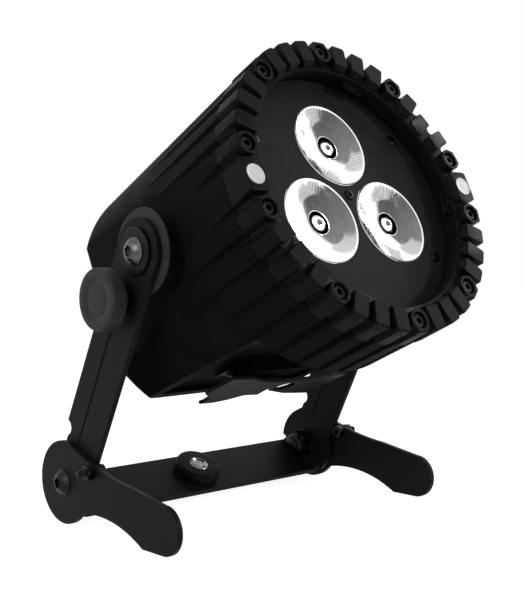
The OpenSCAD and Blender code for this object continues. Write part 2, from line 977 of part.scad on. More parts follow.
module control_board() {
    color(board_green) head_frame() {
        difference() {
            translate([-panel_post_x - 4, -panel_post_u - 4, control_front - board_t])
                cube([2 * panel_post_x + 8, 2 * panel_post_u + 8, board_t]);
            board_post_places()
                translate([0, 0, control_front - board_t - 1])
                    cylinder(r = 1.2, h = 4, $fn = 24);
        }
        // display glass block and the four push switches
        translate([1 - display_w / 2, display_u - display_h / 2 + 1, cover_inner + face_gap])
            cube([display_w - 2, display_h - 2, panel_room - face_gap + 0.1]);
        button_places()
            translate([-3, -3, control_front - board_t - 1.5])
                cube([6, 6, 1.6]);
    }
}

module board_post_places() {
    for (x = [-panel_post_x, panel_post_x]) {
        for (u = [-panel_post_u, panel_post_u]) {
            translate([x, u, 0])
                children();
        }
    }
}

module button_places() {
    for (i = [0 : 3]) {
        translate([(i - 1.5) * button_pitch, button_u, 0])
            children();
    }
}

// rear cover: a plate with the panel recess, display window and button holes
module rear_cover() {
    color(black_paint) head_frame()
        difference() {
            union() {
                translate([0, 0, -rear_behind])
                    linear_extrude(cover_t)
                        rear_plan(0.15);
                board_post_places()
                    translate([0, 0, cover_inner - eps])
                        cylinder(r = 2.5, h = panel_room + eps, $fn = 32);
            }
            translate([-40, button_u - 9, -rear_behind - 1])
                cube([80, display_u + display_h / 2 + 4 - button_u + 9, 1 + panel_deep]);
            translate([-display_w / 2, display_u - display_h / 2, -rear_behind - 1])
                cube([display_w, display_h, 1 + window_deep]);
            translate([-display_w / 2 + 1.5, display_u - display_h / 2 + 1.5, -rear_behind - 1])
                cube([display_w - 3, display_h - 3, 10]);
            button_places()
                translate([0, 0, -rear_behind - 1])
                    cylinder(r = button_r + run_gap, h = 8);
            rear_screw_places() {
                translate([0, 0, -rear_behind - 1])
                    cylinder(r = 1.7, h = 10, $fn = 24);
                translate([0, 0, -rear_behind - 1])
                    cylinder(r = cover_head_r + 0.2, h = 2.8, $fn = 32);
            }
            vent_place()
                translate([0, 0, -1])
                    cylinder(r = 3, h = 10, $fn = 48);
        }
}

module rear_cover_screws() {
    color(dark_steel) head_frame()
        rear_screw_places()
            difference() {
                union() {
                    translate([0, 0, 1.8 - rear_behind - 1.6])
                        cylinder(r = cover_head_r, h = 1.6, $fn = 32);
                    translate([0, 0, 1.7 - rear_behind])
                        cylinder(r = small_shank_r, h = 10, $fn = 24);
                }
                translate([0, 0, -rear_behind - 1])
                    hexagon(2, 2.2);
            }
}

vent_spot = [0, 40];
module vent_place() {
    translate([vent_spot[0], vent_spot[1], -rear_behind])
        children();
}

// breather plug that keeps the sealed housing at room pressure
module vent_plug() {
    color(black_plastic) head_frame()
        vent_place()
            difference() {
                union() {
                    translate([0, 0, -1.2])
                        cylinder(r = 6.5, h = 1.2, $fn = 48);
                    translate([0, 0, -3])
                        hexagon(10, 2);
                    cylinder(r = 2.95, h = 5, $fn = 48);
                }
                translate([0, 0, -3.5])
                    cylinder(r = 1.2, h = 7, $fn = 24);
            }
}

module display_window() {
    window_s = window_deep - window_t - rear_behind;
    color([0.03, 0.03, 0.04]) head_frame()
        translate([0.1 - display_w / 2, display_u - display_h / 2 + 0.1, window_s])
            cube([display_w - 0.2, display_h - 0.2, window_t]);
}

module push_button(i) {
    stem_len = panel_room - 1.5 - button_travel - 0.3 - face_gap;
    color(black_rubber) head_frame()
        translate([(i - 1.5) * button_pitch, button_u, 0]) {
            translate([0, 0, -rear_behind - 1.2])
                cylinder(r = button_r, h = cover_inner + rear_behind + 1.2 + face_gap);
            translate([0, 0, cover_inner + face_gap])
                cylinder(r = button_flange_r, h = 1);
            translate([0, 0, cover_inner + face_gap])
                cylinder(r = 1.6, h = stem_len);
        }
}

module menu_button() {
    push_button(3);
}

module down_button() {
    push_button(2);
}

module up_button() {
    push_button(1);
}

module enter_button() {
    push_button(0);
}

// rubber cover over the charge socket, on the pocket's floor
cover_w = 42;
cover_d = 12;
cover_h = 9;
module port_cover() {
    color(black_rubber) head_frame() floor_frame()
        socket_place()
            difference() {
                union() {
                    translate([0, 0, -cover_h])
                        linear_extrude(cover_h)
                            offset(r = 4, $fn = 32)
                                square([cover_w - 8, cover_d - 8], center = true);
                    translate([0, 0, -eps])
                        cylinder(r = 4.6, h = 1.5);
                }
                for (x = [-1, 1]) {
                    translate([x * (cover_w / 2 + 2.2), 0, -cover_h / 2])
                        rotate([90, 0, 0])
                            cylinder(r = 3, h = cover_d + 2, center = true, $fn = 32);
                }
            }
}

module charge_socket() {
    color(black_plastic) head_frame() floor_frame()
        socket_place()
            difference() {
                translate([0, 0, 0])
                    cylinder(r = 5.9, h = wall + 6);
                translate([0, 0, -1])
                    cylinder(r = 4.7, h = wall + 4);
            }
}

// bent steel bracket under the housing: a notched plate on a folded riser,
// with a round hole for a safety cable
bracket_t = 1.8;
bracket_half = 47;
bracket_drop = 9.2;
riser_back = 54;
riser_w = 28;
eye_x = 10.5;
eye_back = 58.3;
eye_hole_r = 6.5;
module safety_bracket() {
    color(black_paint) head_frame() floor_frame()
        difference() {
            union() {
                translate([0, -bracket_drop, 0])
                    rotate([90, 0, 0])
                        linear_extrude(bracket_t)
                            bracket_plan();
                translate([2 - riser_w, -bracket_drop - bracket_t, -riser_back - bracket_t])
                    cube([riser_w, bracket_drop + bracket_t + pocket_deep, bracket_t]);
                translate([2 - riser_w, pocket_deep - bracket_t, -riser_back - 14])
                    cube([riser_w, bracket_t, 14]);
            }
            bracket_screw_places()
                translate([0, 0, -6])
                    cylinder(r = 1.7, h = 12, $fn = 24);
        }
}

// plan of the plate: X across, Y along the housing, towards its front
module bracket_plan() {
    w = bracket_half;
    difference() {
        polygon([[-w, -30], [-30, -35], [-14, -44], [-3, -46], [17, -48], [35, -44.5], [w, -45.5],
                 [w, -80.2], [33, -76.5], [23, -73.6], [13, -68.3], [3, -63], [-1, -56.6],
                 [0.6, -69.8], [-10.9, -67.4], [-18.8, -73.6], [-26.2, -76], [-36.6, -75],
                 [-35.5, -72], [-36.5, -65], [-w, -55]]);
        translate([eye_x, -eye_back])
            circle(r = eye_hole_r, $fn = 64);
    }
}

module bracket_screws() {
    color(dark_steel) head_frame() floor_frame()
        bracket_screw_places()
            difference() {
                union() {
                    translate([0, 0, -bracket_t - 1.8])
                        cylinder(r = 2.8, h = 1.8, $fn = 32);
                    translate([0, 0, -bracket_t - eps])
                        cylinder(r = small_shank_r, h = bracket_t + eps + bracket_screw_len, $fn = 24);
                }
                translate([0, 0, -bracket_t - 3])
                    hexagon(2, 2.2);
            }
}

// turned spacer between the housing's cast seat and the friction disc
module pivot_spacer(side) {
    color(black_paint) head_frame()
        to_side(side)
            translate([0, 0, seat_x])
                difference() {
                    cylinder(r = pivot_boss_r, h = friction_in_x - seat_x);
                    translate([0, 0, -eps])
                        cylinder(r = bolt_r + run_gap, h = friction_in_x - seat_x + 2 * eps);
                }
}

module pivot_spacer_left() {
    pivot_spacer(-1);
}

module pivot_spacer_right() {
    pivot_spacer(1);
}

module friction_disc(side) {
    color(black_plastic) head_frame()
        to_side(side)
            translate([0, 0, friction_in_x])
                difference() {
                    cylinder(r = friction_r, h = friction_t);
                    translate([0, 0, -eps])
                        cylinder(r = bolt_r + run_gap, h = friction_t + 2 * eps);
                }
}

module friction_disc_left() {
    friction_disc(-1);
}

module friction_disc_right() {
    friction_disc(1);
}

module pivot_washer(side) {
    color(dark_steel) head_frame()
        to_side(side)
            translate([0, 0, yoke_half_w + face_gap])
                difference() {
                    cylinder(r = washer_r, h = washer_t);
                    translate([0, 0, -eps])
                        cylinder(r = bolt_r + run_gap, h = washer_t + 2 * eps);
                }
}

module pivot_washer_left() {
    pivot_washer(-1);
}

module pivot_washer_right() {
    pivot_washer(1);
}

// button head on a shank, with its hexagon socket
module button_head(shank_len) {
    difference() {
        union() {
            cylinder(r = bolt_head_r, h = 0.6);
            translate([0, 0, 0.6])
                scale_dome(bolt_head_r, bolt_head_h - 0.6);
            translate([0, 0, -shank_len])
                cylinder(r = bolt_r, h = shank_len + eps);
        }
        translate([0, 0, bolt_head_h - 2.6])
            hexagon(5, 4);
    }
}

pivot_shank = yoke_half_w + face_gap + washer_t - friction_in_x + 15;
module pivot_bolt(side) {
    color(bright_steel) head_frame()
        to_side(side)
            translate([0, 0, yoke_half_w + face_gap + washer_t])
                button_head(pivot_shank);
}

module pivot_bolt_left() {
    pivot_bolt(-1);
}

module pivot_bolt_right() {
    pivot_bolt(1);
}

// Yoke

// plan of one arm: X to the rear, Y up along the arm, from the tilt axis
module arm_plan() {
    difference() {
        union() {
            difference() {
                union() {
                    circle(r = eye_r);
                    translate([-arm_w / 2, -arm_length])
                        square([arm_w, arm_length]);
                }
                // notch that the stop pin swings into when the foot is folded
                for (a = [0 : 3 : 12]) {
                    translate([0, -arm_length])
                        rotate(-notch_from_arm_a - a)
                            translate([0, stop_pin_d])
                                circle(r = notch_r, $fn = 48);
                }
                // the rear edge steps in below the notch
                translate([neck_side, -arm_length])
                    square([arm_w, stop_pin_d * cos(notch_from_arm_a)]);
            }
            translate([0, -arm_length])
                circle(r = lobe_r);
        }
        // the bend starts here
        translate([-lobe_r - 1, -arm_length - lobe_r - 1])
            square([2 * lobe_r + 2, lobe_r + 1 - bar_drop + bend_r]);
    }
}

module yoke() {
    crease_top = knob_drop + 12;
    crease_len = arm_length - 21 - crease_top;
    color(black_paint) yoke_frame()
        difference() {
            union() {
                for (side = [-1, 1]) {
                    translate([side * arm_mid_x - plate_t / 2, 0, 0])
                        rotate([90, 0, 90])
                            linear_extrude(plate_t)
                                arm_plan();
                    bar_bend(side);
                }
                translate([-(arm_in_x - bend_r), -bar_w / 2, -bar_bottom])
                    cube([2 * (arm_in_x - bend_r), bar_w, plate_t]);
            }
            for (side = [-1, 1]) {
                to_side(side) {
                    translate([0, 0, arm_in_x - 1])
                        cylinder(r = bolt_r + run_gap, h = plate_t + 2);
                    translate([side * knob_drop, knob_rear, arm_in_x - 1])
                        cylinder(r = stud_r + run_gap, h = plate_t + 2);
                    translate([side * arm_length, 0, arm_in_x - 1])
                        cylinder(r = bolt_r + run_gap, h = plate_t + 2);
                }
                // pressed groove on both faces of the arm
                translate([side * yoke_half_w, knob_rear, -crease_top - crease_len / 2])
                    cube([2 * crease_deep, crease_w, crease_len], center = true);
                translate([side * arm_in_x, knob_rear, -crease_top - crease_len / 2])
                    cube([2 * crease_deep, crease_w + 0.8, crease_len], center = true);
            }
            translate([0, 0, -bar_bottom - 1])
                cylinder(r = bush_neck_r + screw_gap, h = plate_t + 2);
        }
}

// quarter bend between an arm and the crossbar
module bar_bend(side) {
    translate([side * (arm_in_x - bend_r), bar_w / 2, -(bar_top - bend_r)])
        rotate([90, 0, 0])
            rotate([0, 0, side > 0 ? -90 : 180])
                rotate_extrude(angle = 90)
                    translate([bend_r, 0])
                        square([plate_t, bar_w]);
}

bush_neck_r = 8;
bush_nut_t = 2.5;
module centre_bush() {
    round_r = 1.6;
    color(black_paint) yoke_frame()
        difference() {
            translate([0, 0, -bar_top])
                rotate_extrude()
                    union() {
                        square([bush_r - round_r, bush_high]);
                        square([bush_r, bush_high - round_r]);
                        translate([bush_r - round_r, bush_high - round_r])
                            circle(r = round_r, $fn = 32);
                        translate([0, -plate_t - bush_nut_t])
                            square([bush_neck_r, plate_t + bush_nut_t + eps]);
                        translate([0, -plate_t - bush_nut_t])
                            square([bush_neck_r + 3, bush_nut_t]);
                    }
            translate([0, 0, -bar_bottom - bush_nut_t - 1])
                cylinder(r = bush_hole_r, h = bush_high + plate_t + bush_nut_t + 2);
        }
}

// Lock knobs

// knob with its stud through the arm and a small clamp shoe inside
shoe_r = 8.2;
shoe_t = 2.4;
module lock_knob(side) {
    face_round = 0.6;
    back_round = 1.6;
    shoe_out = friction_in_x - face_gap;
    color(black_plastic) yoke_frame()
        translate([0, knob_rear, -knob_drop])
            to_side(side) {
                translate([0, 0, knob_back_x])
                    rotate_extrude()
                        difference() {
                            polygon([[0, 0], [knob_r - back_round, 0], [knob_r, back_round],
                                     [knob_r, knob_len - face_round],
                                     [knob_r - face_round, knob_len], [0, knob_len]]);
                            // shallow dish in the face, round a low centre boss
                            translate([0, knob_len - 0.5])
                                square([9.2, 1]);
                            translate([7.4, knob_len - 0.9])
                                square([1.8, 1]);
                        }
                translate([0, 0, yoke_half_w + face_gap])
                    cylinder(r = 7.5, h = knob_stand - face_gap + eps);
                translate([0, 0, shoe_out - shoe_t])
                    cylinder(r = stud_r, h = knob_back_x - shoe_out + shoe_t);
                translate([0, 0, shoe_out - shoe_t])
                    cylinder(r = shoe_r, h = shoe_t);
            }
}

module lock_knob_left() {
    lock_knob(-1);
}

module lock_knob_right() {
    lock_knob(1);
}

// Feet

arch_r = 78;
arch_ahead = 33;
arch_high = -12.5;
sweep_r = 155.8;
sweep_ahead = 73.3;
sweep_high = 161.7;

// plan of a foot: round end, arched leg with a swept top edge, round toe
module foot_plan() {
    circle(r = foot_r);
    translate([toe_ahead, toe_r - foot_r])
        circle(r = toe_r);
    difference() {
        polygon([[0, -12], [12, -foot_r], [toe_ahead, -foot_r], [toe_ahead, 2 * toe_r - foot_r],
                 [60, 6.5], [60, 22], [0, 22]]);
        translate([arch_ahead, arch_high - arch_r])
            circle(r = arch_r, $fn = 128);
        translate([sweep_ahead, sweep_high])
            circle(r = sweep_r, $fn = 256);
    }
}

module stop_pin_place() {
    translate([stop_pin_d * cos(pin_a), stop_pin_d * sin(pin_a), 0])
        children();
}

module foot(side) {
    color(black_paint) foot_frame(side)
        difference() {
            union() {
                linear_extrude(foot_t)
                    foot_plan();
                // raised ring that keeps the foot off the arm
                translate([0, 0, -rub_t])
                    cylinder(r = 12, h = rub_t + eps);
            }
            translate([0, 0, -rub_t - 1])
                cylinder(r = bolt_r + run_gap, h = foot_t + rub_t + 2);
            stop_pin_place()
                translate([0, 0, -1])
                    cylinder(r = pin_r + run_gap, h = foot_t + 2, $fn = 48);
        }
}

module foot_left() {
    foot(-1);
}

module foot_right() {
    foot(1);
}

foot_bolt_end = 13;
foot_bolt_in = rub_t + plate_t + foot_bolt_end;
module foot_bolt(side) {
    color(bright_steel) foot_frame(side)
        translate([0, 0, foot_t + face_gap])
            button_head(foot_bolt_in + foot_t + face_gap);
}

module foot_bolt_left() {
    foot_bolt(-1);
}

module foot_bolt_right() {
    foot_bolt(1);
}

// lock nut with its washer and nylon collar, on the arm's inner face
module foot_nut(side) {
    color(bright_steel) foot_frame(side)
        translate([0, 0, -face_gap - rub_t - plate_t])
            difference() {
                union() {
                    translate([0, 0, -washer_t])
                        cylinder(r = 8, h = washer_t);
                    translate([0, 0, -washer_t - 7])
                        hexagon(13, 7 + eps);
                    translate([0, 0, -washer_t - 10])
                        cylinder(r = 6, h = 4);
                }
                translate([0, 0, -20])
                    cylinder(r = bolt_r + run_gap, h = 40);
            }
}

module foot_nut_left() {
    foot_nut(-1);
}

module foot_nut_right() {
    foot_nut(1);
}

// stop pin: a cap screw with its head between the foot and the arm's edge
pin_tail = 8.8;
module stop_pin(side) {
    color(bright_steel) foot_frame(side)
        stop_pin_place()
            difference() {
                union() {
                    translate([0, 0, -pin_head_h])
                        cylinder(r = pin_head_r, h = pin_head_h, $fn = 48);
                    translate([0, 0, -eps])
                        cylinder(r = pin_r, h = foot_t + pin_tail + eps, $fn = 48);
                }
                translate([0, 0, -pin_head_h - 1])
                    hexagon(3, 3);
            }
}

module stop_pin_left() {
    stop_pin(-1);
}

module stop_pin_right() {
    stop_pin(1);
}

pin_nut_t = 4;
module stop_nut(side) {
    color(bright_steel) foot_frame(side)
        stop_pin_place()
            translate([0, 0, foot_t])
                difference() {
                    rotate([0, 0, 90 - arm_lean])
                        hexagon(7, pin_nut_t);
                    translate([0, 0, -1])
                        cylinder(r = pin_r + run_gap, h = pin_nut_t + 2, $fn = 48);
                }
}

module stop_nut_left() {
    stop_nut(-1);
}

module stop_nut_right() {
    stop_nut(1);
}

housing();
rear_cover();
rear_cover_screws();
bezel_gasket();
bezel_ring();
bezel_screws();
marker_discs();
filter_clips();
face_plate();
face_plate_screws();
lens_top();
lens_left();
lens_right();
led_emitters();
led_board();
heat_sink();
chassis_posts();
battery_holder();
battery_cells();
driver_board();
control_board();
display_window();
menu_button();
down_button();
up_button();
enter_button();
vent_plug();
port_cover();
charge_socket();
safety_bracket();
bracket_screws();
pivot_spacer_left();
pivot_spacer_right();
friction_disc_left();
friction_disc_right();
pivot_washer_left();
pivot_washer_right();
pivot_bolt_left();
pivot_bolt_right();
yoke();
centre_bush();
lock_knob_left();
lock_knob_right();
foot_left();
foot_right();
foot_bolt_left();
foot_bolt_right();
foot_nut_left();
foot_nut_right();
stop_pin_left();
stop_pin_right();
stop_nut_left();
stop_nut_right();
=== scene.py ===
import json
import math

import bmesh
import bpy
from mathutils import Matrix, Vector

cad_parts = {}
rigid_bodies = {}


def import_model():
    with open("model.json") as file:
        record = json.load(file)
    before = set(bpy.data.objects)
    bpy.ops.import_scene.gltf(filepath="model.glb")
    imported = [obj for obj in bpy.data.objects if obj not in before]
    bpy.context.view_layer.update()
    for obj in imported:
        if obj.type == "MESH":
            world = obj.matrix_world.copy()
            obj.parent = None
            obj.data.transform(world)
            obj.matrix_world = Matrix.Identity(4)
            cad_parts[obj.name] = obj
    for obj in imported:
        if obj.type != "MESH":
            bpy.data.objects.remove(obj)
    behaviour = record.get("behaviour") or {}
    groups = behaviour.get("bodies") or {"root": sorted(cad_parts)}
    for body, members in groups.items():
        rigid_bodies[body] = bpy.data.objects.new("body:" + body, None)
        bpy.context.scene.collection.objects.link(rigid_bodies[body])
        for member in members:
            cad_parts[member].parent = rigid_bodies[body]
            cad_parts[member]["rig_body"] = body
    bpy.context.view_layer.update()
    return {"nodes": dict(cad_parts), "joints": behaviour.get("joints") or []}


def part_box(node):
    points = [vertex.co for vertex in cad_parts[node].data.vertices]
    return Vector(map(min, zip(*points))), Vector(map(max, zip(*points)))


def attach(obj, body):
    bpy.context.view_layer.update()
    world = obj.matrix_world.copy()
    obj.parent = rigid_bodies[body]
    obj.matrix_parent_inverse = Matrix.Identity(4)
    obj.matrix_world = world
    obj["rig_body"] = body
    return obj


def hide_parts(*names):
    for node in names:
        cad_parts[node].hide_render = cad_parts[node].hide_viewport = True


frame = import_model()
nodes = frame["nodes"]
jointByName = {joint["name"]: joint for joint in frame["joints"]}
print("stage: frame loaded,", len(nodes), "nodes")

mm = 0.001
mergeDist = 0.001 * mm
fullTurn = 2 * math.pi
sides = (("left", -1), ("right", 1))


# Directions and places, read from the frame's joints
def unit(values):
    return Vector(values).normalized()


def axesMatrix(origin, xAxis, yAxis, zAxis):
    axes = Matrix((xAxis, yAxis, zAxis)).transposed().to_4x4()
    return Matrix.Translation(origin) @ axes


sideways = Vector((1, 0, 0))
pivot = Vector(jointByName["head_tilt"]["pos_m"])
footPivot = Vector(jointByName["foot_left_fold"]["pos_m"])
knobPivot = Vector(jointByName["lock_knob_left_turn"]["pos_m"])
beam = unit(jointByName["menu_button_press"]["axis"])
acrossBeam = unit((0, beam.z, -beam.y))
alongArm = unit(pivot - footPivot)
armRear = unit((0, alongArm.z, -alongArm.y))

headFrame = axesMatrix(pivot, sideways, acrossBeam, beam)
yokeFrame = axesMatrix(pivot, sideways, armRear, alongArm)


# A frame that looks out to one side: Z points outwards, Y up
def sideFrame(origin, side, up=Vector((0, 0, 1))):
    outward = Vector((side, 0, 0))
    return axesMatrix(origin, up.cross(outward), up, outward)


# A place in the head's own millimetres, as a matrix in the world
def headPlace(x, y, z):
    return headFrame @ Matrix.Translation(Vector((x, y, z)) * mm)


# Materials
patches = {"darkUpTo": 0.35, "lightFrom": 0.68, "detail": 3.0}
wear = {"smoothUpTo": 0.3, "roughFrom": 0.7, "detail": 4.0}
grainDetail = 2.0


# A hex code in sRGB, as the linear colour that a socket takes
def hexColour(code, alpha=1.0):
    channels = [int(code[i:i + 2], 16) / 255 for i in (1, 3, 5)]
    linear = [c / 12.92 if c <= 0.04045 else ((c + 0.055) / 1.055) ** 2.4 for c in channels]
    return (*linear, alpha)


def addNode(tree, kind, settings=None, links=None):
    node = tree.nodes.new(kind)
    for key, value in (settings or {}).items():
        if isinstance(key, int) or key in node.inputs:
            node.inputs[key].default_value = value
        else:
            setattr(node, key, value)
    for key, source in (links or {}).items():
        tree.links.new(source, node.inputs[key])
    return node


def emptyMaterial(name):
    material = bpy.data.materials.new(name)
    material.use_nodes = True
    material.node_tree.nodes.clear()
    return material, material.node_tree


# A pattern of that size in millimetres, as a scale for a noise node in metres
def perSize(sizeMm):
    return 1 / (sizeMm * mm)


# Colour that wanders between two shades in patches of one size
def mottled(tree, place, look):
    noise = addNode(tree, "ShaderNodeTexNoise",
                    {"Scale": perSize(look["patchMm"]), "Detail": patches["detail"]},
                    {"Vector": place})
    ramp = addNode(tree, "ShaderNodeValToRGB", links={"Fac": noise.outputs["Fac"]})
    darkEnd, lightEnd = ramp.color_ramp.elements
    darkEnd.position = patches["darkUpTo"]
    darkEnd.color = hexColour(look["dark"])
    lightEnd.position = patches["lightFrom"]
    lightEnd.color = hexColour(look["light"])
    return ramp.outputs["Color"]


# Roughness that wanders between two values, as on handled and coated surfaces
def wornRoughness(tree, place, look):
    noise = addNode(tree, "ShaderNodeTexNoise",
                    {"Scale": perSize(look["patchMm"]), "Detail": wear["detail"]},
                    {"Vector": place})
    spread = addNode(tree, "ShaderNodeMapRange",
                     {"To Min": look["smooth"], "To Max": look["rough"],
                      "From Min": wear["smoothUpTo"], "From Max": wear["roughFrom"]},
                     {"Value": noise.outputs["Fac"]})
    return spread.outputs["Result"]


# Fine relief of one size, for orange peel, tool grain and tool marks
def grainBump(tree, place, look):
    noise = addNode(tree, "ShaderNodeTexNoise",
                    {"Scale": perSize(look["grainMm"]), "Detail": grainDetail},
                    {"Vector": place})
    bump = addNode(tree, "ShaderNodeBump",
                   {"Strength": look["grain"], "Distance": look["grainHighMm"] * mm},
                   {"Height": noise.outputs["Fac"]})
    return bump.outputs["Normal"]


def texturedFinish(name, look, settings):
    material, tree = emptyMaterial(name)
    place = addNode(tree, "ShaderNodeTexCoord").outputs["Object"]
    shader = addNode(tree, "ShaderNodeBsdfPrincipled", settings, {
        "Base Color": mottled(tree, place, look),
        "Roughness": wornRoughness(tree, place, look),
        "Normal": grainBump(tree, place, look)})
    addNode(tree, "ShaderNodeOutputMaterial", links={"Surface": shader.outputs[0]})
    return material


# Coats, plastics and rubber: a dull body colour under a weak sheen
def mattFinish(name, look):
    return texturedFinish(name, look, {"IOR": look["ior"], "Specular IOR Level": look["sheen"]})


# Machined and plated metal: it mirrors the room, broken up by faint tool marks
def platedMetal(name, look):
    return texturedFinish(name, look, {"Metallic": 1.0})


# Clear moulded acrylic: it bends the pale room behind it, so it looks bright and wet
def mouldedAcrylic(name, look):
    return texturedFinish(name, look, {"IOR": look["ior"], "Transmission Weight": look["clear"]})


# Polyester powder coat on steel plate: satin black, its orange peel (1 mm) softens reflections
coatLook = {"dark": "#171718", "light": "#1f1f20", "patchMm": 14, "smooth": 0.42, "rough": 0.52,
            "grainMm": 0.9, "grainHighMm": 0.05, "grain": 0.25, "ior": 1.45, "sheen": 0.06}
# The same coat over a casting, rougher and almost without shine; its colour is painted darker,
# painted shade
castShadedLook = dict(coatLook, dark="#101011", light="#171718", patchMm=22, smooth=0.55, rough=0.68,
                grainMm=1.1, grainHighMm=0.07, grain=0.3, sheen=0.02)
# The same coat on the flat face plate, painted greyer: painted light for the room light that it
# catches
plateLitLook = dict(coatLook, dark="#212122", light="#292a2a", smooth=0.5, rough=0.6)
# The same coat on the small parts under the head, painted a deeper black: painted shade
bracketShadedLook = dict(coatLook, dark="#0e0e0f", light="#141415")
# Polycarbonate from a spark eroded tool: even black. The tool's grain is about 0.2 mm, too fine
# to show in the render, so all mouldings have it drawn coarser
bezelLook = {"dark": "#101011", "light": "#161617", "patchMm": 12, "smooth": 0.42, "rough": 0.55,
             "grainMm": 0.7, "grainHighMm": 0.05, "grain": 0.25, "ior": 1.45, "sheen": 0.05}
# Glass filled nylon: a soft grey black, with a little more shine
knobLook = dict(bezelLook, dark="#2f2f31", light="#38383a", patchMm=8, smooth=0.5, rough=0.62,
                grainMm=0.5, sheen=0.15)
# ABS: plain black
plasticLook = dict(bezelLook, dark="#141415", light="#1b1b1d")
# Moulded rubber: dull and deep black
rubberLook = dict(bezelLook, dark="#0d0d0e", light="#141415", smooth=0.72, rough=0.85,
                  grainMm=0.5, ior=1.4)
# Zinc plate that has gone grey with handling. Tool marks are some 0.1 mm apart on metals, too
# fine to show in the render, so they are drawn coarser
zincLook = {"dark": "#424446", "light": "#5c5e61", "patchMm": 3, "smooth": 0.28, "rough": 0.42,
            "grainMm": 0.35, "grainHighMm": 0.02, "grain": 0.3}
# Black passivated zinc: a dark metal with small bright glints
nutLook = dict(zincLook, dark="#1b1c1e", light="#2a2b2e", smooth=0.3, rough=0.45)
# Fresh plating inside the threaded insert: the brightest metal
insertLook = dict(zincLook, dark="#84868a", light="#a8aaad", smooth=0.2, rough=0.32)
# Black oxide: oily black, duller than plating
blackOxideLook = dict(zincLook, dark="#141416", light="#202022", patchMm=2, smooth=0.35,
                      rough=0.5, grainMm=0.3)
# Extruded aluminium without a coat: pale and silky
alloyLook = dict(zincLook, dark="#9a9ca0", light="#b8babd", patchMm=6)
# The lens's dish turns light back inside the acrylic, which the eye sees as a clear mirror
dishLook = dict(zincLook, dark="#eceef0", light="#f8f9fa", smooth=0.05, rough=0.12, grain=0.08)
# The rest of the lens: water clear and polished
lensLook = {"dark": "#f2f4f5", "light": "#fbfcfd", "patchMm": 9, "smooth": 0.02, "rough": 0.06,
            "grainMm": 1.2, "grainHighMm": 0.02, "grain": 0.1, "ior": 1.49, "clear": 1.0}
# The well's wall is painted near black: painted shade for the dark holder seen behind the clear
# lens
wellShadeLook = dict(bezelLook, dark="#08090a", light="#101113", smooth=0.1, rough=0.2, patchMm=3)
# Opal acrylic: milky white, with a soft shine
markerLook = dict(bezelLook, dark="#e6e6e4", light="#efefed", smooth=0.35, rough=0.45, patchMm=5,
                  sheen=0.4)
# Solder mask: a lacquer with a clear gloss, green or white
boardLook = dict(bezelLook, dark="#123d24", light="#1b5030", smooth=0.3, rough=0.45, patchMm=4,
                 sheen=0.5)
paleBoardLook = dict(boardLook, dark="#d3d5d3", light="#e2e3e1")
# Shrink sleeve on the cells: blue film with a gloss
cellLook = dict(bezelLook, dark="#16376b", light="#1d4585", smooth=0.3, rough=0.4, patchMm=10,
                sheen=0.5)
# Phosphor in silicone: a warm yellow pad
emitterLook = dict(bezelLook, dark="#d8c46a", light="#e8d98a", smooth=0.3, rough=0.4, patchMm=2,
                   sheen=0.5)
# Smoked acrylic over the display: near black and glossy
displayLook = dict(bezelLook, dark="#08090b", light="#0d0f12", smooth=0.08, rough=0.14, patchMm=9,
                   sheen=0.5)

finishes = {
    # painted shade: a darker copy of the powder coat, on the castings
    "castShadedCoat": mattFinish("castAluminiumCoatPaintedShade", castShadedLook),
    # painted light: a greyer copy of the powder coat, on the face plate
    "plateLitCoat": mattFinish("facePlatePaintedLightCoat", plateLitLook),
    "steelCoat": mattFinish("steelPlateBlackPowderCoat", coatLook),
    # painted shade: a blacker copy of the powder coat, on the safety bracket and centre bush
    "bracketShadedCoat": mattFinish("smallPartsCoatPaintedShade", bracketShadedLook),
    "bezel": mattFinish("mouldedBlackPolycarbonate", bezelLook),
    "knob": mattFinish("mouldedGreyBlackNylon", knobLook),
    "plastic": mattFinish("mouldedBlackAbs", plasticLook),
    "rubber": mattFinish("mouldedBlackRubber", rubberLook),
    "zinc": platedMetal("zincPlatedSteel", zincLook),
    "nut": platedMetal("blackZincPlatedSteel", nutLook),
    "blackOxide": platedMetal("blackOxidedSteel", blackOxideLook),
    "alloy": platedMetal("bareExtrudedAluminium", alloyLook),
    "lens": mouldedAcrylic("clearMouldedAcrylic", lensLook),
    "insert": platedMetal("brightPlatedInsert", insertLook),
    "lensDish": platedMetal("totalReflectionAcrylic", dishLook),
    "lensWellShade": mattFinish("wellWallPaintedShade", wellShadeLook),
    "marker": mattFinish("opalDiffusingAcrylic", markerLook),
    "board": mattFinish("greenSolderMask", boardLook),
    "paleBoard": mattFinish("whiteSolderMask", paleBoardLook),
    "cell": mattFinish("blueShrinkSleeve", cellLook),
    "emitter": mattFinish("phosphorSilicone", emitterLook),
    "display": mattFinish("smokedDisplayAcrylic", displayLook),
}


def pair(name):
    return [name + "_left", name + "_right"]


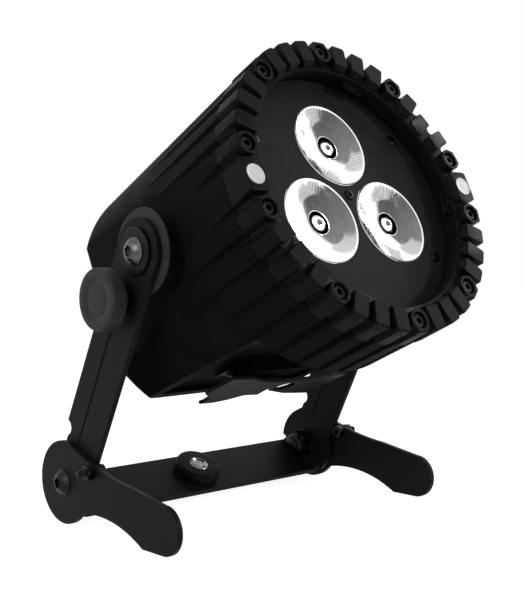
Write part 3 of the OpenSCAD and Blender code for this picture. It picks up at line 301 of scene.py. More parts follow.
nodeFinish = {
    "castShadedCoat": ["housing", "rear_cover"] + pair("pivot_spacer"),
    "plateLitCoat": ["face_plate"],
    "steelCoat": ["yoke"] + pair("foot"),
    "bracketShadedCoat": ["safety_bracket", "centre_bush"],
    "bezel": ["bezel_ring"],
    "knob": pair("lock_knob") + pair("friction_disc"),
    "plastic": ["battery_holder", "charge_socket", "vent_plug"],
    "rubber": ["bezel_gasket", "port_cover", "menu_button", "down_button", "up_button",
               "enter_button"],
    "zinc": ["chassis_posts"] + pair("pivot_bolt"),
    "nut": pair("foot_bolt") + pair("foot_nut") + pair("stop_pin") + pair("stop_nut"),
    "blackOxide": ["bezel_screws", "face_plate_screws", "rear_cover_screws", "bracket_screws",
                   "filter_clips"] + pair("pivot_washer"),
    "alloy": ["heat_sink"],
    "lens": ["lens_top", "lens_left", "lens_right"],
    "marker": ["marker_discs"],
    "board": ["driver_board", "control_board"],
    "paleBoard": ["led_board"],
    "cell": ["battery_cells"],
    "emitter": ["led_emitters"],
    "display": ["display_window"],
}
finishOfNode = {node: finish for finish, names in nodeFinish.items() for node in names}


# The first finish of a piece; faces that are set to a second one keep it
def dress(piece, finish):
    materials = piece.data.materials
    if len(materials):
        materials[0] = finishes[finish]
    else:
        materials.append(finishes[finish])


for nodeName, cadNode in nodes.items():
    dress(cadNode, finishOfNode[nodeName])
print("stage: materials ready,", len(finishes))


# Modelling helpers
def deselectAll():
    if bpy.context.object and bpy.context.object.mode != "OBJECT":
        bpy.ops.object.mode_set(mode="OBJECT")
    bpy.ops.object.select_all(action="DESELECT")


def makeActive(piece):
    deselectAll()
    piece.select_set(True)
    bpy.context.view_layer.objects.active = piece


def applyModifiers(piece):
    makeActive(piece)
    for modifier in list(piece.modifiers):
        bpy.ops.object.modifier_apply(modifier=modifier.name)


def shadeSmooth(piece, degrees):
    makeActive(piece)
    bpy.ops.object.shade_smooth_by_angle(angle=math.radians(degrees))


def softenEdges(piece, widthMm, segments, degrees):
    bevel = piece.modifiers.new("softEdges", "BEVEL")
    bevel.width = widthMm * mm
    bevel.segments = segments
    bevel.limit_method = "ANGLE"
    bevel.angle_limit = math.radians(degrees)
    applyModifiers(piece)


# A turned form: its outline in millimetres as radius and height, spun round Z
def turned(name, outline, steps):
    deselectAll()
    bpy.ops.mesh.primitive_plane_add(size=mm, location=(0, 0, 0))
    piece = bpy.context.object
    piece.name = name
    bpy.ops.object.mode_set(mode="EDIT")
    bpy.ops.mesh.select_all(action="SELECT")
    bpy.ops.mesh.merge(type="CENTER")
    startR, startZ = outline[0]
    bpy.ops.transform.translate(value=(startR * mm, 0, startZ * mm))
    for (fromR, fromZ), (toR, toZ) in zip(outline, outline[1:]):
        bpy.ops.mesh.extrude_vertices_move(
            TRANSFORM_OT_translate={"value": ((toR - fromR) * mm, 0, (toZ - fromZ) * mm)})
    bpy.ops.mesh.select_all(action="SELECT")
    bpy.ops.mesh.spin(steps=steps, angle=fullTurn, center=(0, 0, 0), axis=(0, 0, 1))
    bpy.ops.mesh.select_all(action="SELECT")
    bpy.ops.mesh.remove_doubles(threshold=mergeDist)
    bpy.ops.mesh.normals_make_consistent(inside=False)
    bpy.ops.object.mode_set(mode="OBJECT")
    return piece


def turnedSmooth(name, outline, size):
    piece = turned(name, outline, size["steps"])
    shadeSmooth(piece, size["smooth"])
    return piece


# The round plate with a hole that washers are turned from
def ringOutline(boreR, outerR, thick, edge):
    return [(boreR, 0), (outerR - edge, 0), (outerR, edge), (outerR, thick - edge),
            (outerR - edge, thick), (boreR, thick), (boreR, 0)]


def toCorner(flatsMm):
    return flatsMm / math.sqrt(3)


# A hexagonal bar across its flats, for nuts and for cutting sockets
def hexBar(name, flatsMm, lowMm, highMm):
    deselectAll()
    bpy.ops.mesh.primitive_cylinder_add(vertices=6, radius=toCorner(flatsMm) * mm,
                                        depth=(highMm - lowMm) * mm,
                                        location=(0, 0, (highMm + lowMm) / 2 * mm))
    piece = bpy.context.object
    piece.name = name
    bpy.ops.object.transform_apply(location=True, rotation=True, scale=True)
    return piece


def combine(piece, tool, operation):
    boolean = piece.modifiers.new("cut", "BOOLEAN")
    boolean.operation = operation
    boolean.solver = "EXACT"
    boolean.object = tool
    applyModifiers(piece)
    bpy.data.objects.remove(tool)


# Cuts a hexagon socket into a head, with a cutter that reaches well past its top
def cutSocket(piece, size):
    bottom, past = size["headH"] - size["socketDeep"], size["headH"] * 2
    combine(piece, hexBar("socket", size["socket"], bottom, past), "DIFFERENCE")


# Puts a finished shape at its place, with the place in its mesh
def settle(piece, matrix):
    piece.data.transform(matrix)
    piece.data.update()
    return piece


def copyAt(piece, name, matrix):
    other = bpy.data.objects.new(name, piece.data.copy())
    bpy.context.scene.collection.objects.link(other)
    return settle(other, matrix)


def joined(pieces, name):
    makeActive(pieces[0])
    for piece in pieces:
        piece.select_set(True)
    bpy.ops.object.join()
    pieces[0].name = name
    return pieces[0]


def remove(piece):
    bpy.data.objects.remove(piece)


# Gives a piece its finish and its body, and hides the nodes that it stands for
def fit(piece, finish, *stoodFor):
    dress(piece, finish)
    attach(piece, nodes[stoodFor[0]]["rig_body"])
    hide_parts(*stoodFor)
    return piece


def radiusMm(place):
    return math.hypot(place.x, place.y) / mm


# Lowest and highest corner of a node along a frame's own Z, in millimetres
def reachAlong(nodeName, matrix):
    inverse = matrix.inverted()
    heights = [(inverse @ vertex.co).z for vertex in nodes[nodeName].data.vertices]
    return min(heights) / mm, max(heights) / mm


# Centres and spans of a node's separate solids, in the given frame's millimetres
def solidPlaces(nodeName, matrix):
    inverse = matrix.inverted()
    mesh = bmesh.new()
    mesh.from_mesh(nodes[nodeName].data)
    bmesh.ops.remove_doubles(mesh, verts=mesh.verts, dist=mergeDist)
    seen = set()
    places = []
    for start in mesh.verts:
        if start in seen:
            continue
        group, waiting = [], [start]
        seen.add(start)
        while waiting:
            vertex = waiting.pop()
            group.append(inverse @ vertex.co / mm)
            for edge in vertex.link_edges:
                other = edge.other_vert(vertex)
                if other not in seen:
                    seen.add(other)
                    waiting.append(other)
        low = Vector([min(p[i] for p in group) for i in range(3)])
        high = Vector([max(p[i] for p in group) for i in range(3)])
        places.append(((low + high) / 2, high - low))
    mesh.free()
    return places


# Softened copies of plain CAD forms: every sheet and casting edge catches some light
softEdge = {"segments": 2, "edgeDegrees": 32, "smooth": 50, "flatDegrees": 0.3,
            "mergeMm": 0.002, "flatWeight": 100}
softenedEdges = {
    "housing": 0.5, "bezel_ring": 0.35, "face_plate": 0.2, "yoke": 0.35, "foot_left": 0.4,
    "foot_right": 0.4, "safety_bracket": 0.25, "rear_cover": 0.3, "port_cover": 0.6,
    "friction_disc_left": 0.2, "friction_disc_right": 0.2, "filter_clips": 0.15,
    "charge_socket": 0.2, "display_window": 0.1,
}


def softened(nodeName, widthMm):
    piece = bpy.data.objects.new(nodeName + "_finished", nodes[nodeName].data.copy())
    bpy.context.scene.collection.objects.link(piece)
    makeActive(piece)
    bpy.ops.object.mode_set(mode="EDIT")
    bpy.ops.mesh.select_all(action="SELECT")
    bpy.ops.mesh.remove_doubles(threshold=softEdge["mergeMm"] * mm)
    bpy.ops.mesh.dissolve_limited(angle_limit=math.radians(softEdge["flatDegrees"]))
    bpy.ops.object.mode_set(mode="OBJECT")
    softenEdges(piece, widthMm, softEdge["segments"], softEdge["edgeDegrees"])
    shadeSmooth(piece, softEdge["smooth"])
    flat = piece.modifiers.new("flatFaces", "WEIGHTED_NORMAL")
    flat.keep_sharp = True
    flat.weight = softEdge["flatWeight"]
    applyModifiers(piece)
    return fit(piece, finishOfNode[nodeName], nodeName)


softPieces = {name: softened(name, widthMm) for name, widthMm in softenedEdges.items()}

# The teeth slope down at their inner ends, towards the face plate
slope = {"reach": 1.7, "fall": 2.4, "topBand": 0.6, "inside": 2, "spare": 1, "steps": 192,
         "smooth": 22}


def slopeTeeth(piece):
    inverse = headFrame.inverted()
    places = [inverse @ vertex.co / mm for vertex in piece.data.vertices]
    top = max(place.z for place in places)
    tipPlaces = [place for place in places if place.z > top - slope["topBand"]]
    inner = min(math.hypot(place.x, place.y) for place in tipPlaces)
    start = (inner - slope["inside"], top - slope["fall"] - slope["spare"])
    outline = [start, (inner, top - slope["fall"]), (inner + slope["reach"], top),
               (inner + slope["reach"], top + slope["spare"]),
               (inner - slope["inside"], top + slope["spare"]), start]
    combine(piece, settle(turned("slopeCutter", outline, slope["steps"]), headFrame), "DIFFERENCE")
    shadeSmooth(piece, slope["smooth"])


slopeTeeth(softPieces["bezel_ring"])
print("stage: castings and plates finished")


# Lenses: each is one solid of clear plastic. Its dished front turns light back like a mirror and
# is finely fluted near the rim; a small clear dome stands in the well in its middle. The rim is
# set in from its radius, and well and dome rise from the dish's lowest ring
lens = {"rimR": 23.1, "dishR": 22.4, "dishSteps": 24, "tiltAtRim": 15.7, "rimZ": -0.2,
        "fluteFrom": 12.5, "fluteTo": 22.3, "fluteFade": 3, "fluteHigh": 0.036,
        "fluteAbove": -2.6, "flatTo": 22, "steps": 240, "smooth": 40,
        "back": [(0, -12), (4.6, -12), (5.2, -17), (9, -17), (12, -11), (14.6, -8.1),
                 (17.2, -5.9), (19.6, -4.3)],
        "rim": [(1.2, -3.1), (0, -2.7), (0, -0.15), (0.15, 0), (0.5, 0)],
        "wellR": 6.4, "wellInnerR": 4.65, "wellOuterR": 6.2, "wellDeep": 3.1, "domeR": 4.3,
        "dishFromR": 6, "frontSlope": 0.4,
        "well": [(6.25, 0.1), (6.0, -0.1), (5.9, -1.2), (5.8, -3), (4.9, -3), (4.75, -1.4),
                 (4.6, -0.7)],
        "dome": [(4.2, 0), (3.6, 0.6), (2.8, 1.1), (2.0, 1.4), (1.0, 1.55), (0, 1.6)]}
clearPart, mirrorPart, shadedWellPart = 0, 1, 2


# Height of the dish, a shallow bowl whose wall has its steepest tilt at the rim
def dishZ(radius):
    spread = math.radians(lens["tiltAtRim"]) / lens["dishR"] / 2
    return lens["rimZ"] - spread * (lens["dishR"] ** 2 - radius ** 2)


def partOfLens(polygon, low):
    radius, height = radiusMm(polygon.center), polygon.center.z / mm
    # faces of the well's wall get the painted shade
    if lens["wellInnerR"] < radius < lens["wellOuterR"] and low - lens["wellDeep"] < height < low:
        return shadedWellPart
    offWell = radius > lens["dishFromR"] or radius < lens["domeR"]
    return mirrorPart if polygon.normal.z > lens["frontSlope"] and offWell else clearPart


def makeLens():
    dishR, bowl = lens["dishR"], lens["dishR"] - lens["wellR"]
    radii = [dishR - bowl * i / lens["dishSteps"] for i in range(lens["dishSteps"] + 1)]
    low = dishZ(radii[-1])
    outline = lens["back"] + [(lens["rimR"] - inset, z) for inset, z in lens["rim"]]
    outline += [(radius, dishZ(radius)) for radius in radii]
    outline += [(radius, low + rise) for radius, rise in lens["well"] + lens["dome"]]
    piece = turned("lensShape", outline, lens["steps"])
    stepTurn = fullTurn / lens["steps"]
    for vertex in piece.data.vertices:
        radius = radiusMm(vertex.co)
        onFront = vertex.co.z > lens["fluteAbove"] * mm
        if lens["fluteFrom"] < radius < lens["fluteTo"] and onFront:
            spoke = round(math.atan2(vertex.co.y, vertex.co.x) / stepTurn)
            share = min(1, (radius - lens["fluteFrom"]) / lens["fluteFade"])
            vertex.co.z += (1 if spoke % 2 else -1) * lens["fluteHigh"] / 2 * share * mm
    for polygon in piece.data.polygons:
        polygon.material_index = partOfLens(polygon, low)
    shadeSmooth(piece, lens["smooth"])
    # the flutes keep their flat sides
    for polygon in piece.data.polygons:
        fluted = lens["fluteFrom"] < radiusMm(polygon.center) < lens["flatTo"]
        if polygon.material_index == mirrorPart and fluted:
            polygon.use_smooth = False
    return piece


lensShape = makeLens()
faceFront = reachAlong("face_plate", headFrame)[1]
for nodeName in ("lens_top", "lens_left", "lens_right"):
    centre = solidPlaces(nodeName, headFrame)[0][0]
    place = headPlace(centre.x, centre.y, faceFront)
    lensPiece = fit(copyAt(lensShape, nodeName + "_fluted", place), "lens", nodeName)
    lensPiece.data.materials.append(finishes["lensDish"])
    # third finish: the painted shade on the well's wall
    lensPiece.data.materials.append(finishes["lensWellShade"])
remove(lensShape)
print("stage: lenses")


# Outline of a threaded shank, from its end up to z = 0: a tapered start, the crests a little
# inside the shank's radius, then a plain neck
thread = {"startIn": 0.3, "startLong": 0.5, "firstRoot": 0.8, "spare": 1, "crestIn": 0.02,
          "runOut": 0.5}


def threadOutline(radius, deep, pitch, lengthMm, plainMm):
    root, crest = radius - deep, radius - thread["crestIn"]
    outline = [(0, -lengthMm), (root - thread["startIn"], -lengthMm),
               (root, -lengthMm + thread["startLong"])]
    z = -lengthMm + thread["firstRoot"]
    for _ in range(int((lengthMm - plainMm - thread["spare"]) / pitch)):
        outline += [(root, z), (crest, z + pitch * 0.5)]
        z += pitch
    return outline + [(root, z), (crest, z + thread["runOut"])]


# Button heads of the pivots and the feet: domed, with a hexagon socket and a threaded shank
buttonHead = {"headR": 7, "headH": 4.4, "skirt": 0.6, "underEdge": 0.25,
              "domeSteps": 12, "domeGap": 0.05,
              "socket": 5, "socketDeep": 2.6, "socketLand": 0.45, "socketTurn": 12,
              "edge": 0.12, "edgeDegrees": 40, "boltR": 4, "threadDeep": 0.35, "pitch": 1.25,
              "plain": {"pivot_bolt": 10, "foot_bolt": 6}, "steps": 48, "smooth": 30}


def makeButtonHead(lengthMm, plainMm):
    size = buttonHead
    headR, headH, skirt = size["headR"], size["headH"], size["skirt"]
    roundR = (headR ** 2 + (headH - skirt) ** 2) / (2 * (headH - skirt))
    flatR = toCorner(size["socket"]) + size["socketLand"]

    def domeZ(radius):
        return headH - roundR + math.sqrt(roundR ** 2 - radius ** 2)

    radii = [headR * (1 - i / size["domeSteps"]) for i in range(1, size["domeSteps"])]
    innermost = flatR + size["domeGap"]
    dome = [(radius, domeZ(radius)) for radius in radii if radius > innermost]
    outline = threadOutline(size["boltR"], size["threadDeep"], size["pitch"], lengthMm, plainMm)
    outline += [(size["boltR"] - thread["crestIn"], 0), (headR - size["underEdge"], 0),
                (headR, size["underEdge"]), (headR, skirt)]
    outline += dome + [(flatR, domeZ(flatR)), (0, domeZ(flatR))]
    piece = turned("buttonHeadShape", outline, size["steps"])
    cutSocket(piece, size)
    softenEdges(piece, size["edge"], 1, size["edgeDegrees"])
    shadeSmooth(piece, size["smooth"])
    return piece


for kind, centre in (("pivot_bolt", pivot), ("foot_bolt", footPivot)):
    low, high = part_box(kind + "_left")
    shankLen = (high.x - low.x) / mm - buttonHead["headH"]
    shape = makeButtonHead(shankLen, buttonHead["plain"][kind])
    for sideName, side in sides:
        nodeName = kind + "_" + sideName
        low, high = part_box(nodeName)
        seat = (high.x if side > 0 else -low.x) / mm - buttonHead["headH"]
        turn = Matrix.Rotation(math.radians(buttonHead["socketTurn"]), 4, "Z")
        place = sideFrame(centre + Vector((side * seat * mm, 0, 0)), side) @ turn
        fit(copyAt(shape, nodeName + "_turned", place), finishOfNode[nodeName], nodeName)
    remove(shape)

# Large washers under the pivot heads
pivotWasher = {"boreR": 4.06, "underEdge": 0.3, "topEdge": 0.35, "mouthR": 4.5, "mouthDeep": 0.3,
               "steps": 72, "smooth": 30}
for sideName, side in sides:
    nodeName = "pivot_washer_" + sideName
    low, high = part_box(nodeName)
    outerR = (high.z - low.z) / 2 / mm
    thick = (high.x - low.x) / mm
    boreR, underEdge, topEdge = (pivotWasher[key] for key in ("boreR", "underEdge", "topEdge"))
    outline = [(boreR, 0), (outerR - underEdge, 0), (outerR, underEdge), (outerR, thick - topEdge),
               (outerR - topEdge, thick), (pivotWasher["mouthR"], thick),
               (boreR, thick - pivotWasher["mouthDeep"]), (boreR, 0)]
    shape = turnedSmooth("washerShape", outline, pivotWasher)
    seat = low.x if side > 0 else high.x
    fit(settle(shape, sideFrame(Vector((seat, pivot.y, pivot.z)), side)), "blackOxide", nodeName)
    shape.name = nodeName + "_turned"
print("stage: pivot bolts and washers")


# Socket cap screws round the crown, with a knurled head
capScrew = {"headR": 3.5, "headH": 4, "topEdge": 0.45, "underEdge": 0.2, "socket": 3,
            "socketDeep": 2, "socketLand": 0.35, "shankR": 1.9, "threadDeep": 0.25, "pitch": 0.7,
            "plain": 2, "flutes": 24, "fluteDeep": 0.14, "fluteAbove": 0.1, "rimBand": 0.05,
            "smooth": 22}
screwSpin = 37  # degrees from one screw to the next, so that no two sockets stand alike


def makeCapScrew(size, lengthMm):
    headR, headH = size["headR"], size["headH"]
    outline = threadOutline(size["shankR"], size["threadDeep"], size["pitch"], lengthMm,
                            size["plain"])
    outline += [(size["shankR"], 0), (headR - size["underEdge"], 0), (headR, size["underEdge"]),
                (headR, headH - size["topEdge"]), (headR - size["topEdge"], headH),
                (toCorner(size["socket"]) + size["socketLand"], headH), (0, headH)]
    piece = turned("capScrewShape", outline, size["flutes"] * 2)
    # knurl: every other upright edge of the head is set in
    stepTurn = fullTurn / (size["flutes"] * 2)
    for vertex in piece.data.vertices:
        spoke = round(math.atan2(vertex.co.y, vertex.co.x) / stepTurn)
        onRim = radiusMm(vertex.co) > headR - size["rimBand"]
        if spoke % 2 and onRim and vertex.co.z > size["fluteAbove"] * mm:
            share = (headR - size["fluteDeep"]) / headR
            vertex.co.x *= share
            vertex.co.y *= share
    cutSocket(piece, size)
    shadeSmooth(piece, size["smooth"])
    return piece


# One screw for each solid of the node, heads along the frame's Z or against it
def placeScrews(nodeName, shape, headH, facing, matrix=headFrame):
    copies = []
    for index, (centre, span) in enumerate(solidPlaces(nodeName, matrix)):
        seat = centre.z + facing * (span.z / 2 - headH)
        turn = Matrix.Identity(4) if facing > 0 else Matrix.Rotation(math.pi, 4, "X")
        spin = Matrix.Rotation(math.radians(screwSpin * index), 4, "Z")
        local = Matrix.Translation(Vector((centre.x, centre.y, seat)) * mm) @ turn @ spin
        copies.append(copyAt(shape, "screw", matrix @ local))
    fit(joined(copies, nodeName + "_turned"), "blackOxide", nodeName)
    remove(shape)


bezelSpan = solidPlaces("bezel_screws", headFrame)[0][1]
placeScrews("bezel_screws", makeCapScrew(capScrew, bezelSpan.z - capScrew["headH"]),
            capScrew["headH"], 1)

# Low pan heads on the rear cover, on the face plate and under the safety plate
panScrew = {"headR": 2.8, "headH": 1.6, "socket": 2, "socketDeep": 1.0, "shankR": 1.45,
            "threadDeep": 0.2, "pitch": 0.5, "plain": 1, "skirtShare": 0.3, "shoulderShare": 0.75,
            "shoulderIn": 0.35, "topIn": 1.0, "steps": 32, "smooth": 30}


def makePanScrew(size, lengthMm):
    headR, headH = size["headR"], size["headH"]
    outline = threadOutline(size["shankR"], size["threadDeep"], size["pitch"], lengthMm,
                            size["plain"])
    outline += [(size["shankR"], 0), (headR, 0), (headR, headH * size["skirtShare"]),
                (headR - size["shoulderIn"], headH * size["shoulderShare"]),
                (headR - size["topIn"], headH), (0, headH)]
    piece = turned("panScrewShape", outline, size["steps"])
    cutSocket(piece, size)
    shadeSmooth(piece, size["smooth"])
    return piece


rearSpan = solidPlaces("rear_cover_screws", headFrame)[0][1]
rearScrew = dict(panScrew, headR=rearSpan.x / 2)
placeScrews("rear_cover_screws", makePanScrew(rearScrew, rearSpan.z - rearScrew["headH"]),
            rearScrew["headH"], -1)

# The face plate's screws, and the post that the middle one is screwed into
faceScrew = dict(panScrew, headH=1.2, spinPerMm=0.7)
facePost = {"boreR": 1.55, "edge": 0.2, "longerBy": 0.1, "steps": 32, "smooth": 30}


def makeFaceScrews():
    places = solidPlaces("face_plate_screws", headFrame)
    screwLen = min(span.z for centre, span in places)
    shape = makePanScrew(faceScrew, screwLen - faceScrew["headH"])
    pieces = []
    for centre, span in places:
        if span.z > screwLen + facePost["longerBy"]:
            outline = ringOutline(facePost["boreR"], span.x / 2, span.z, facePost["edge"])
            post = turnedSmooth("facePost", outline, facePost)
            pieces.append(settle(post, headPlace(centre.x, centre.y, centre.z - span.z / 2)))
        else:
            seat = headPlace(centre.x, centre.y, centre.z + span.z / 2 - faceScrew["headH"])
            spin = Matrix.Rotation(centre.x * faceScrew["spinPerMm"], 4, "Z")
            pieces.append(copyAt(shape, "screw", seat @ spin))
    remove(shape)
    return joined(pieces, "face_plate_screws_turned")


fit(makeFaceScrews(), "blackOxide", "face_plate_screws")


# Direction that most of a flat node's surface faces
def mainNormal(nodeName):
    sums = {}
    for polygon in nodes[nodeName].data.polygons:
        normal = polygon.normal if polygon.normal.z > 0 else -polygon.normal
        key = tuple(round(value, 2) for value in normal)
        total, area = sums.get(key, (Vector((0, 0, 0)), 0))
        sums[key] = (total + normal * polygon.area, area + polygon.area)
    return max(sums.values(), key=lambda entry: entry[1])[0].normalized()


# The two screws of the safety bracket sit square to its plate, heads downwards
plateUp = mainNormal("safety_bracket")
bracketFrame = axesMatrix(pivot, sideways, plateUp.cross(sideways), plateUp)
bracketSpan = solidPlaces("bracket_screws", bracketFrame)[0][1]
bracketScrew = dict(panScrew, headR=bracketSpan.x / 2, headH=1.3, shankR=1.48)
placeScrews("bracket_screws", makePanScrew(bracketScrew, bracketSpan.z - bracketScrew["headH"]),
            bracketScrew["headH"], -1, bracketFrame)
print("stage: screws")


# Light discs in the two wide blocks: a shallow dome in a thin rim
marker = {"underEdge": 0.1, "topEdge": 0.2, "rimWide": 0.7, "grooveAt": 0.9, "grooveDeep": 0.12,
          "domeShare": 0.6, "domeHigh": 0.02, "steps": 64, "smooth": 40}


def makeMarker(radius, thick):
    outline = [(0, 0), (radius - marker["underEdge"], 0), (radius, marker["underEdge"]),
               (radius, thick - marker["topEdge"]), (radius - marker["topEdge"], thick),
               (radius - marker["rimWide"], thick),
               (radius - marker["grooveAt"], thick - marker["grooveDeep"]),
               (radius * marker["domeShare"], thick - marker["domeHigh"]),
               (0, thick + marker["domeHigh"])]
    return turnedSmooth("markerShape", outline, marker)


discPlaces = solidPlaces("marker_discs", headFrame)
markerShape = makeMarker(discPlaces[0][1].y / 2, discPlaces[0][1].z)
discs = [copyAt(markerShape, "disc", headPlace(centre.x, centre.y, centre.z - span.z / 2))
         for centre, span in discPlaces]
fit(joined(discs, "marker_discs_domed"), "marker", "marker_discs")
remove(markerShape)


# Lock knobs: a turned grip with a dished face, on a stud with a clamp shoe. The grip's edges are
# set in from its radius, and the dish is given as radius and depth
knob = {"shoeR": 8.2, "shoeT": 2.4, "edge": 0.2, "studR": 3, "neckR": 7.5, "neckLen": 5.7,
        "gripR": 15.6, "gripLen": 8.4, "steps": 96, "smooth": 40,
        "backEdge": [(2.0, 0), (0.9, 0.25), (0.25, 0.9), (0, 1.8)],
        "frontEdge": [(0, 1.3), (0.12, 0.7), (0.45, 0.25), (1.0, 0)],
        "dish": [(11.4, 0.02), (10.4, 0.25), (9.2, 0.75), (8.4, 0.85), (7.6, 0.7), (6.6, 0.42),
                 (4.5, 0.32), (0, 0.3)]}


def makeKnob(whole):
    shoeR, shoeT, edge, neckR = (knob[key] for key in ("shoeR", "shoeT", "edge", "neckR"))
    back = whole - knob["gripLen"]
    neckFrom = back - knob["neckLen"]
    outline = [(0, 0), (shoeR - edge, 0), (shoeR, edge), (shoeR, shoeT - edge),
               (shoeR - edge, shoeT), (knob["studR"], shoeT), (knob["studR"], neckFrom),
               (neckR - edge, neckFrom), (neckR, neckFrom + edge), (neckR, back)]
    outline += [(knob["gripR"] - inset, back + rise) for inset, rise in knob["backEdge"]]
    outline += [(knob["gripR"] - inset, whole - drop) for inset, drop in knob["frontEdge"]]
    outline += [(radius, whole - drop) for radius, drop in knob["dish"]]
    return turnedSmooth("knobShape", outline, knob)


for sideName, side in sides:
    nodeName = "lock_knob_" + sideName
    low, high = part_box(nodeName)
    shape = makeKnob((high.x - low.x) / mm)
    inner = low.x if side > 0 else high.x
    shape.name = nodeName + "_turned"
    place = sideFrame(Vector((inner, knobPivot.y, knobPivot.z)), side)
    fit(settle(shape, place), "knob", nodeName)
print("stage: knobs")


# Centre bush: a rounded collar round a threaded insert, held by a flat nut under the yoke
bush = {"collarR": 13.3, "collarH": 6.4, "roundR": 1.6, "roundSteps": 5, "edge": 0.3,
        "insertR": 5.5, "insertEdge": 0.15, "collarEdge": 0.2, "holeR": 4.25, "mouth": 0.9,
        "lip": 0.05, "lead": 0.5, "threadDeep": 0.5, "pitch": 1.5, "threadFrom": 0.6,
        "threadTo": 1.4, "neckR": 8, "plateT": 3, "nutR": 11, "nutT": 2.5, "steps": 72,
        "smooth": 30}


def makeBush():
    top, low = bush["collarH"], -bush["plateT"] - bush["nutT"]
    holeR, insertR, edge = bush["holeR"], bush["insertR"], bush["edge"]
    outline = [(holeR + bush["lead"], low)]
    z = low + bush["threadFrom"]
    while z < top - bush["threadTo"]:
        outline += [(holeR, z), (holeR + bush["threadDeep"], z + bush["pitch"] / 2)]
        z += bush["pitch"]
    collarEdge = bush["collarEdge"]
    outline += [(holeR, top - bush["mouth"]), (holeR + bush["mouth"], top - bush["lip"]),
                (insertR - bush["insertEdge"], top - bush["lip"]), (insertR, top - collarEdge),
                (insertR + collarEdge, top)]
    roundR, collarR = bush["roundR"], bush["collarR"]
    for i in range(bush["roundSteps"] + 1):
        angle = math.radians(90 * (1 - i / bush["roundSteps"]))
        outline.append((collarR - roundR * (1 - math.cos(angle)),
                        top - roundR * (1 - math.sin(angle))))
    outline += [(collarR, edge), (collarR - edge, 0), (bush["neckR"], 0),
                (bush["neckR"], -bush["plateT"]), (bush["nutR"], -bush["plateT"]),
                (bush["nutR"], low + edge), (bush["nutR"] - edge, low),
                (holeR + bush["lead"], low)]
    piece = turnedSmooth("centre_bush_turned", outline, bush)
    # the bare insert with the thread stands in the painted collar
    for polygon in piece.data.polygons:
        polygon.material_index = 1 if radiusMm(polygon.center) < insertR else 0
    return piece


bushTop = reachAlong("centre_bush", yokeFrame)[1]
bushPlace = yokeFrame @ Matrix.Translation((0, 0, (bushTop - bush["collarH"]) * mm))
# the bush takes the blacker coat with its painted shade
bushPiece = fit(settle(makeBush(), bushPlace), "bracketShadedCoat", "centre_bush")
bushPiece.data.materials.append(finishes["insert"])


# Nuts: a hexagonal bar whose corners are turned off at both ends, with a countersunk bore
nutShape = {"cornerShare": 0.62, "cornerDeep": 0.7, "overEnd": 0.4, "faceIn": 0.6, "mouth": 0.5,
            "spare": 1, "coneSteps": 48, "holeSteps": 32, "smooth": 25}


def hexNut(name, flatsMm, thickMm, boreMm):
    piece = hexBar(name, flatsMm, 0, thickMm)
    faceR, wideR = flatsMm * 0.5 - nutShape["faceIn"], flatsMm * nutShape["cornerShare"]
    over, deep = nutShape["overEnd"], nutShape["cornerDeep"]
    outline = [(0, -over), (faceR, -over), (wideR, deep), (wideR, thickMm - deep),
               (faceR, thickMm + over), (0, thickMm + over)]
    combine(piece, turned("nutChamfer", outline, nutShape["coneSteps"]), "INTERSECT")
    mouthR, mouth, spare = boreMm + nutShape["mouth"], nutShape["mouth"], nutShape["spare"]
    outline = [(0, -spare), (mouthR, -spare), (mouthR, 0), (boreMm, mouth),
               (boreMm, thickMm - mouth), (mouthR, thickMm), (mouthR, thickMm + spare),
               (0, thickMm + spare)]
    combine(piece, turned("nutHole", outline, nutShape["holeSteps"]), "DIFFERENCE")
    shadeSmooth(piece, nutShape["smooth"])
    return piece


# Stop pins: cap screws through the feet, with a nut on the threaded tail
stopPin = dict(capScrew, shankR=1.98, flutes=20)
stopNut = {"flats": 7, "thick": 4, "boreR": 2.03}
for sideName, side in sides:
    nodeName = "stop_pin_" + sideName
    low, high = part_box(nodeName)
    centre = (low + high) / 2
    inner = low.x if side > 0 else high.x
    shape = makeCapScrew(stopPin, (high.x - low.x) / mm - stopPin["headH"])
    seat = Vector((inner + side * stopPin["headH"] * mm, centre.y, centre.z))
    shape.name = nodeName + "_threaded"
    fit(settle(shape, sideFrame(seat, -side)), "nut", nodeName)
    nutName = "stop_nut_" + sideName
    low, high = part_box(nutName)
    shape = hexNut(nutName + "_chamfered", stopNut["flats"], stopNut["thick"], stopNut["boreR"])
    inner = low.x if side > 0 else high.x
    place = sideFrame(Vector((inner, centre.y, centre.z)), side, alongArm)
    fit(settle(shape, place), "nut", nutName)

# Lock nuts on the foot bolts: washer, hexagon and collar
footNut = {"boreR": 4.06, "flats": 13, "hexT": 7,
           "washer": {"outerR": 8, "thick": 1.6, "edge": 0.2, "steps": 48, "smooth": 30},
           "collar": {"outline": [(6.1, 0), (6.0, 1.9), (5.6, 2.6), (4.9, 2.95)], "steps": 48,
                      "smooth": 40}}


def makeFootNut(name):
    boreR, hexT, ring, top = (footNut[key] for key in ("boreR", "hexT", "washer", "collar"))
    outline = ringOutline(boreR, ring["outerR"], ring["thick"], ring["edge"])
    washer = turnedSmooth("footWasher", outline, ring)
    body = hexNut("footHex", footNut["flats"], hexT, boreR)
    outline = [(boreR, 0)] + top["outline"] + [(boreR, top["outline"][-1][1]), (boreR, 0)]
    collar = turnedSmooth("footCollar", outline, top)
    settle(body, Matrix.Translation((0, 0, ring["thick"] * mm)))
    settle(collar, Matrix.Translation((0, 0, (ring["thick"] + hexT) * mm)))
    return joined([washer, body, collar], name)


for sideName, side in sides:
    nodeName = "foot_nut_" + sideName
    low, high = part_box(nodeName)
    outer = high.x if side > 0 else low.x
    place = sideFrame(Vector((outer, footPivot.y, footPivot.z)), -side)
    fit(settle(makeFootNut(nodeName + "_chamfered"), place), "nut", nodeName)
print("stage: nuts, pins and bush")


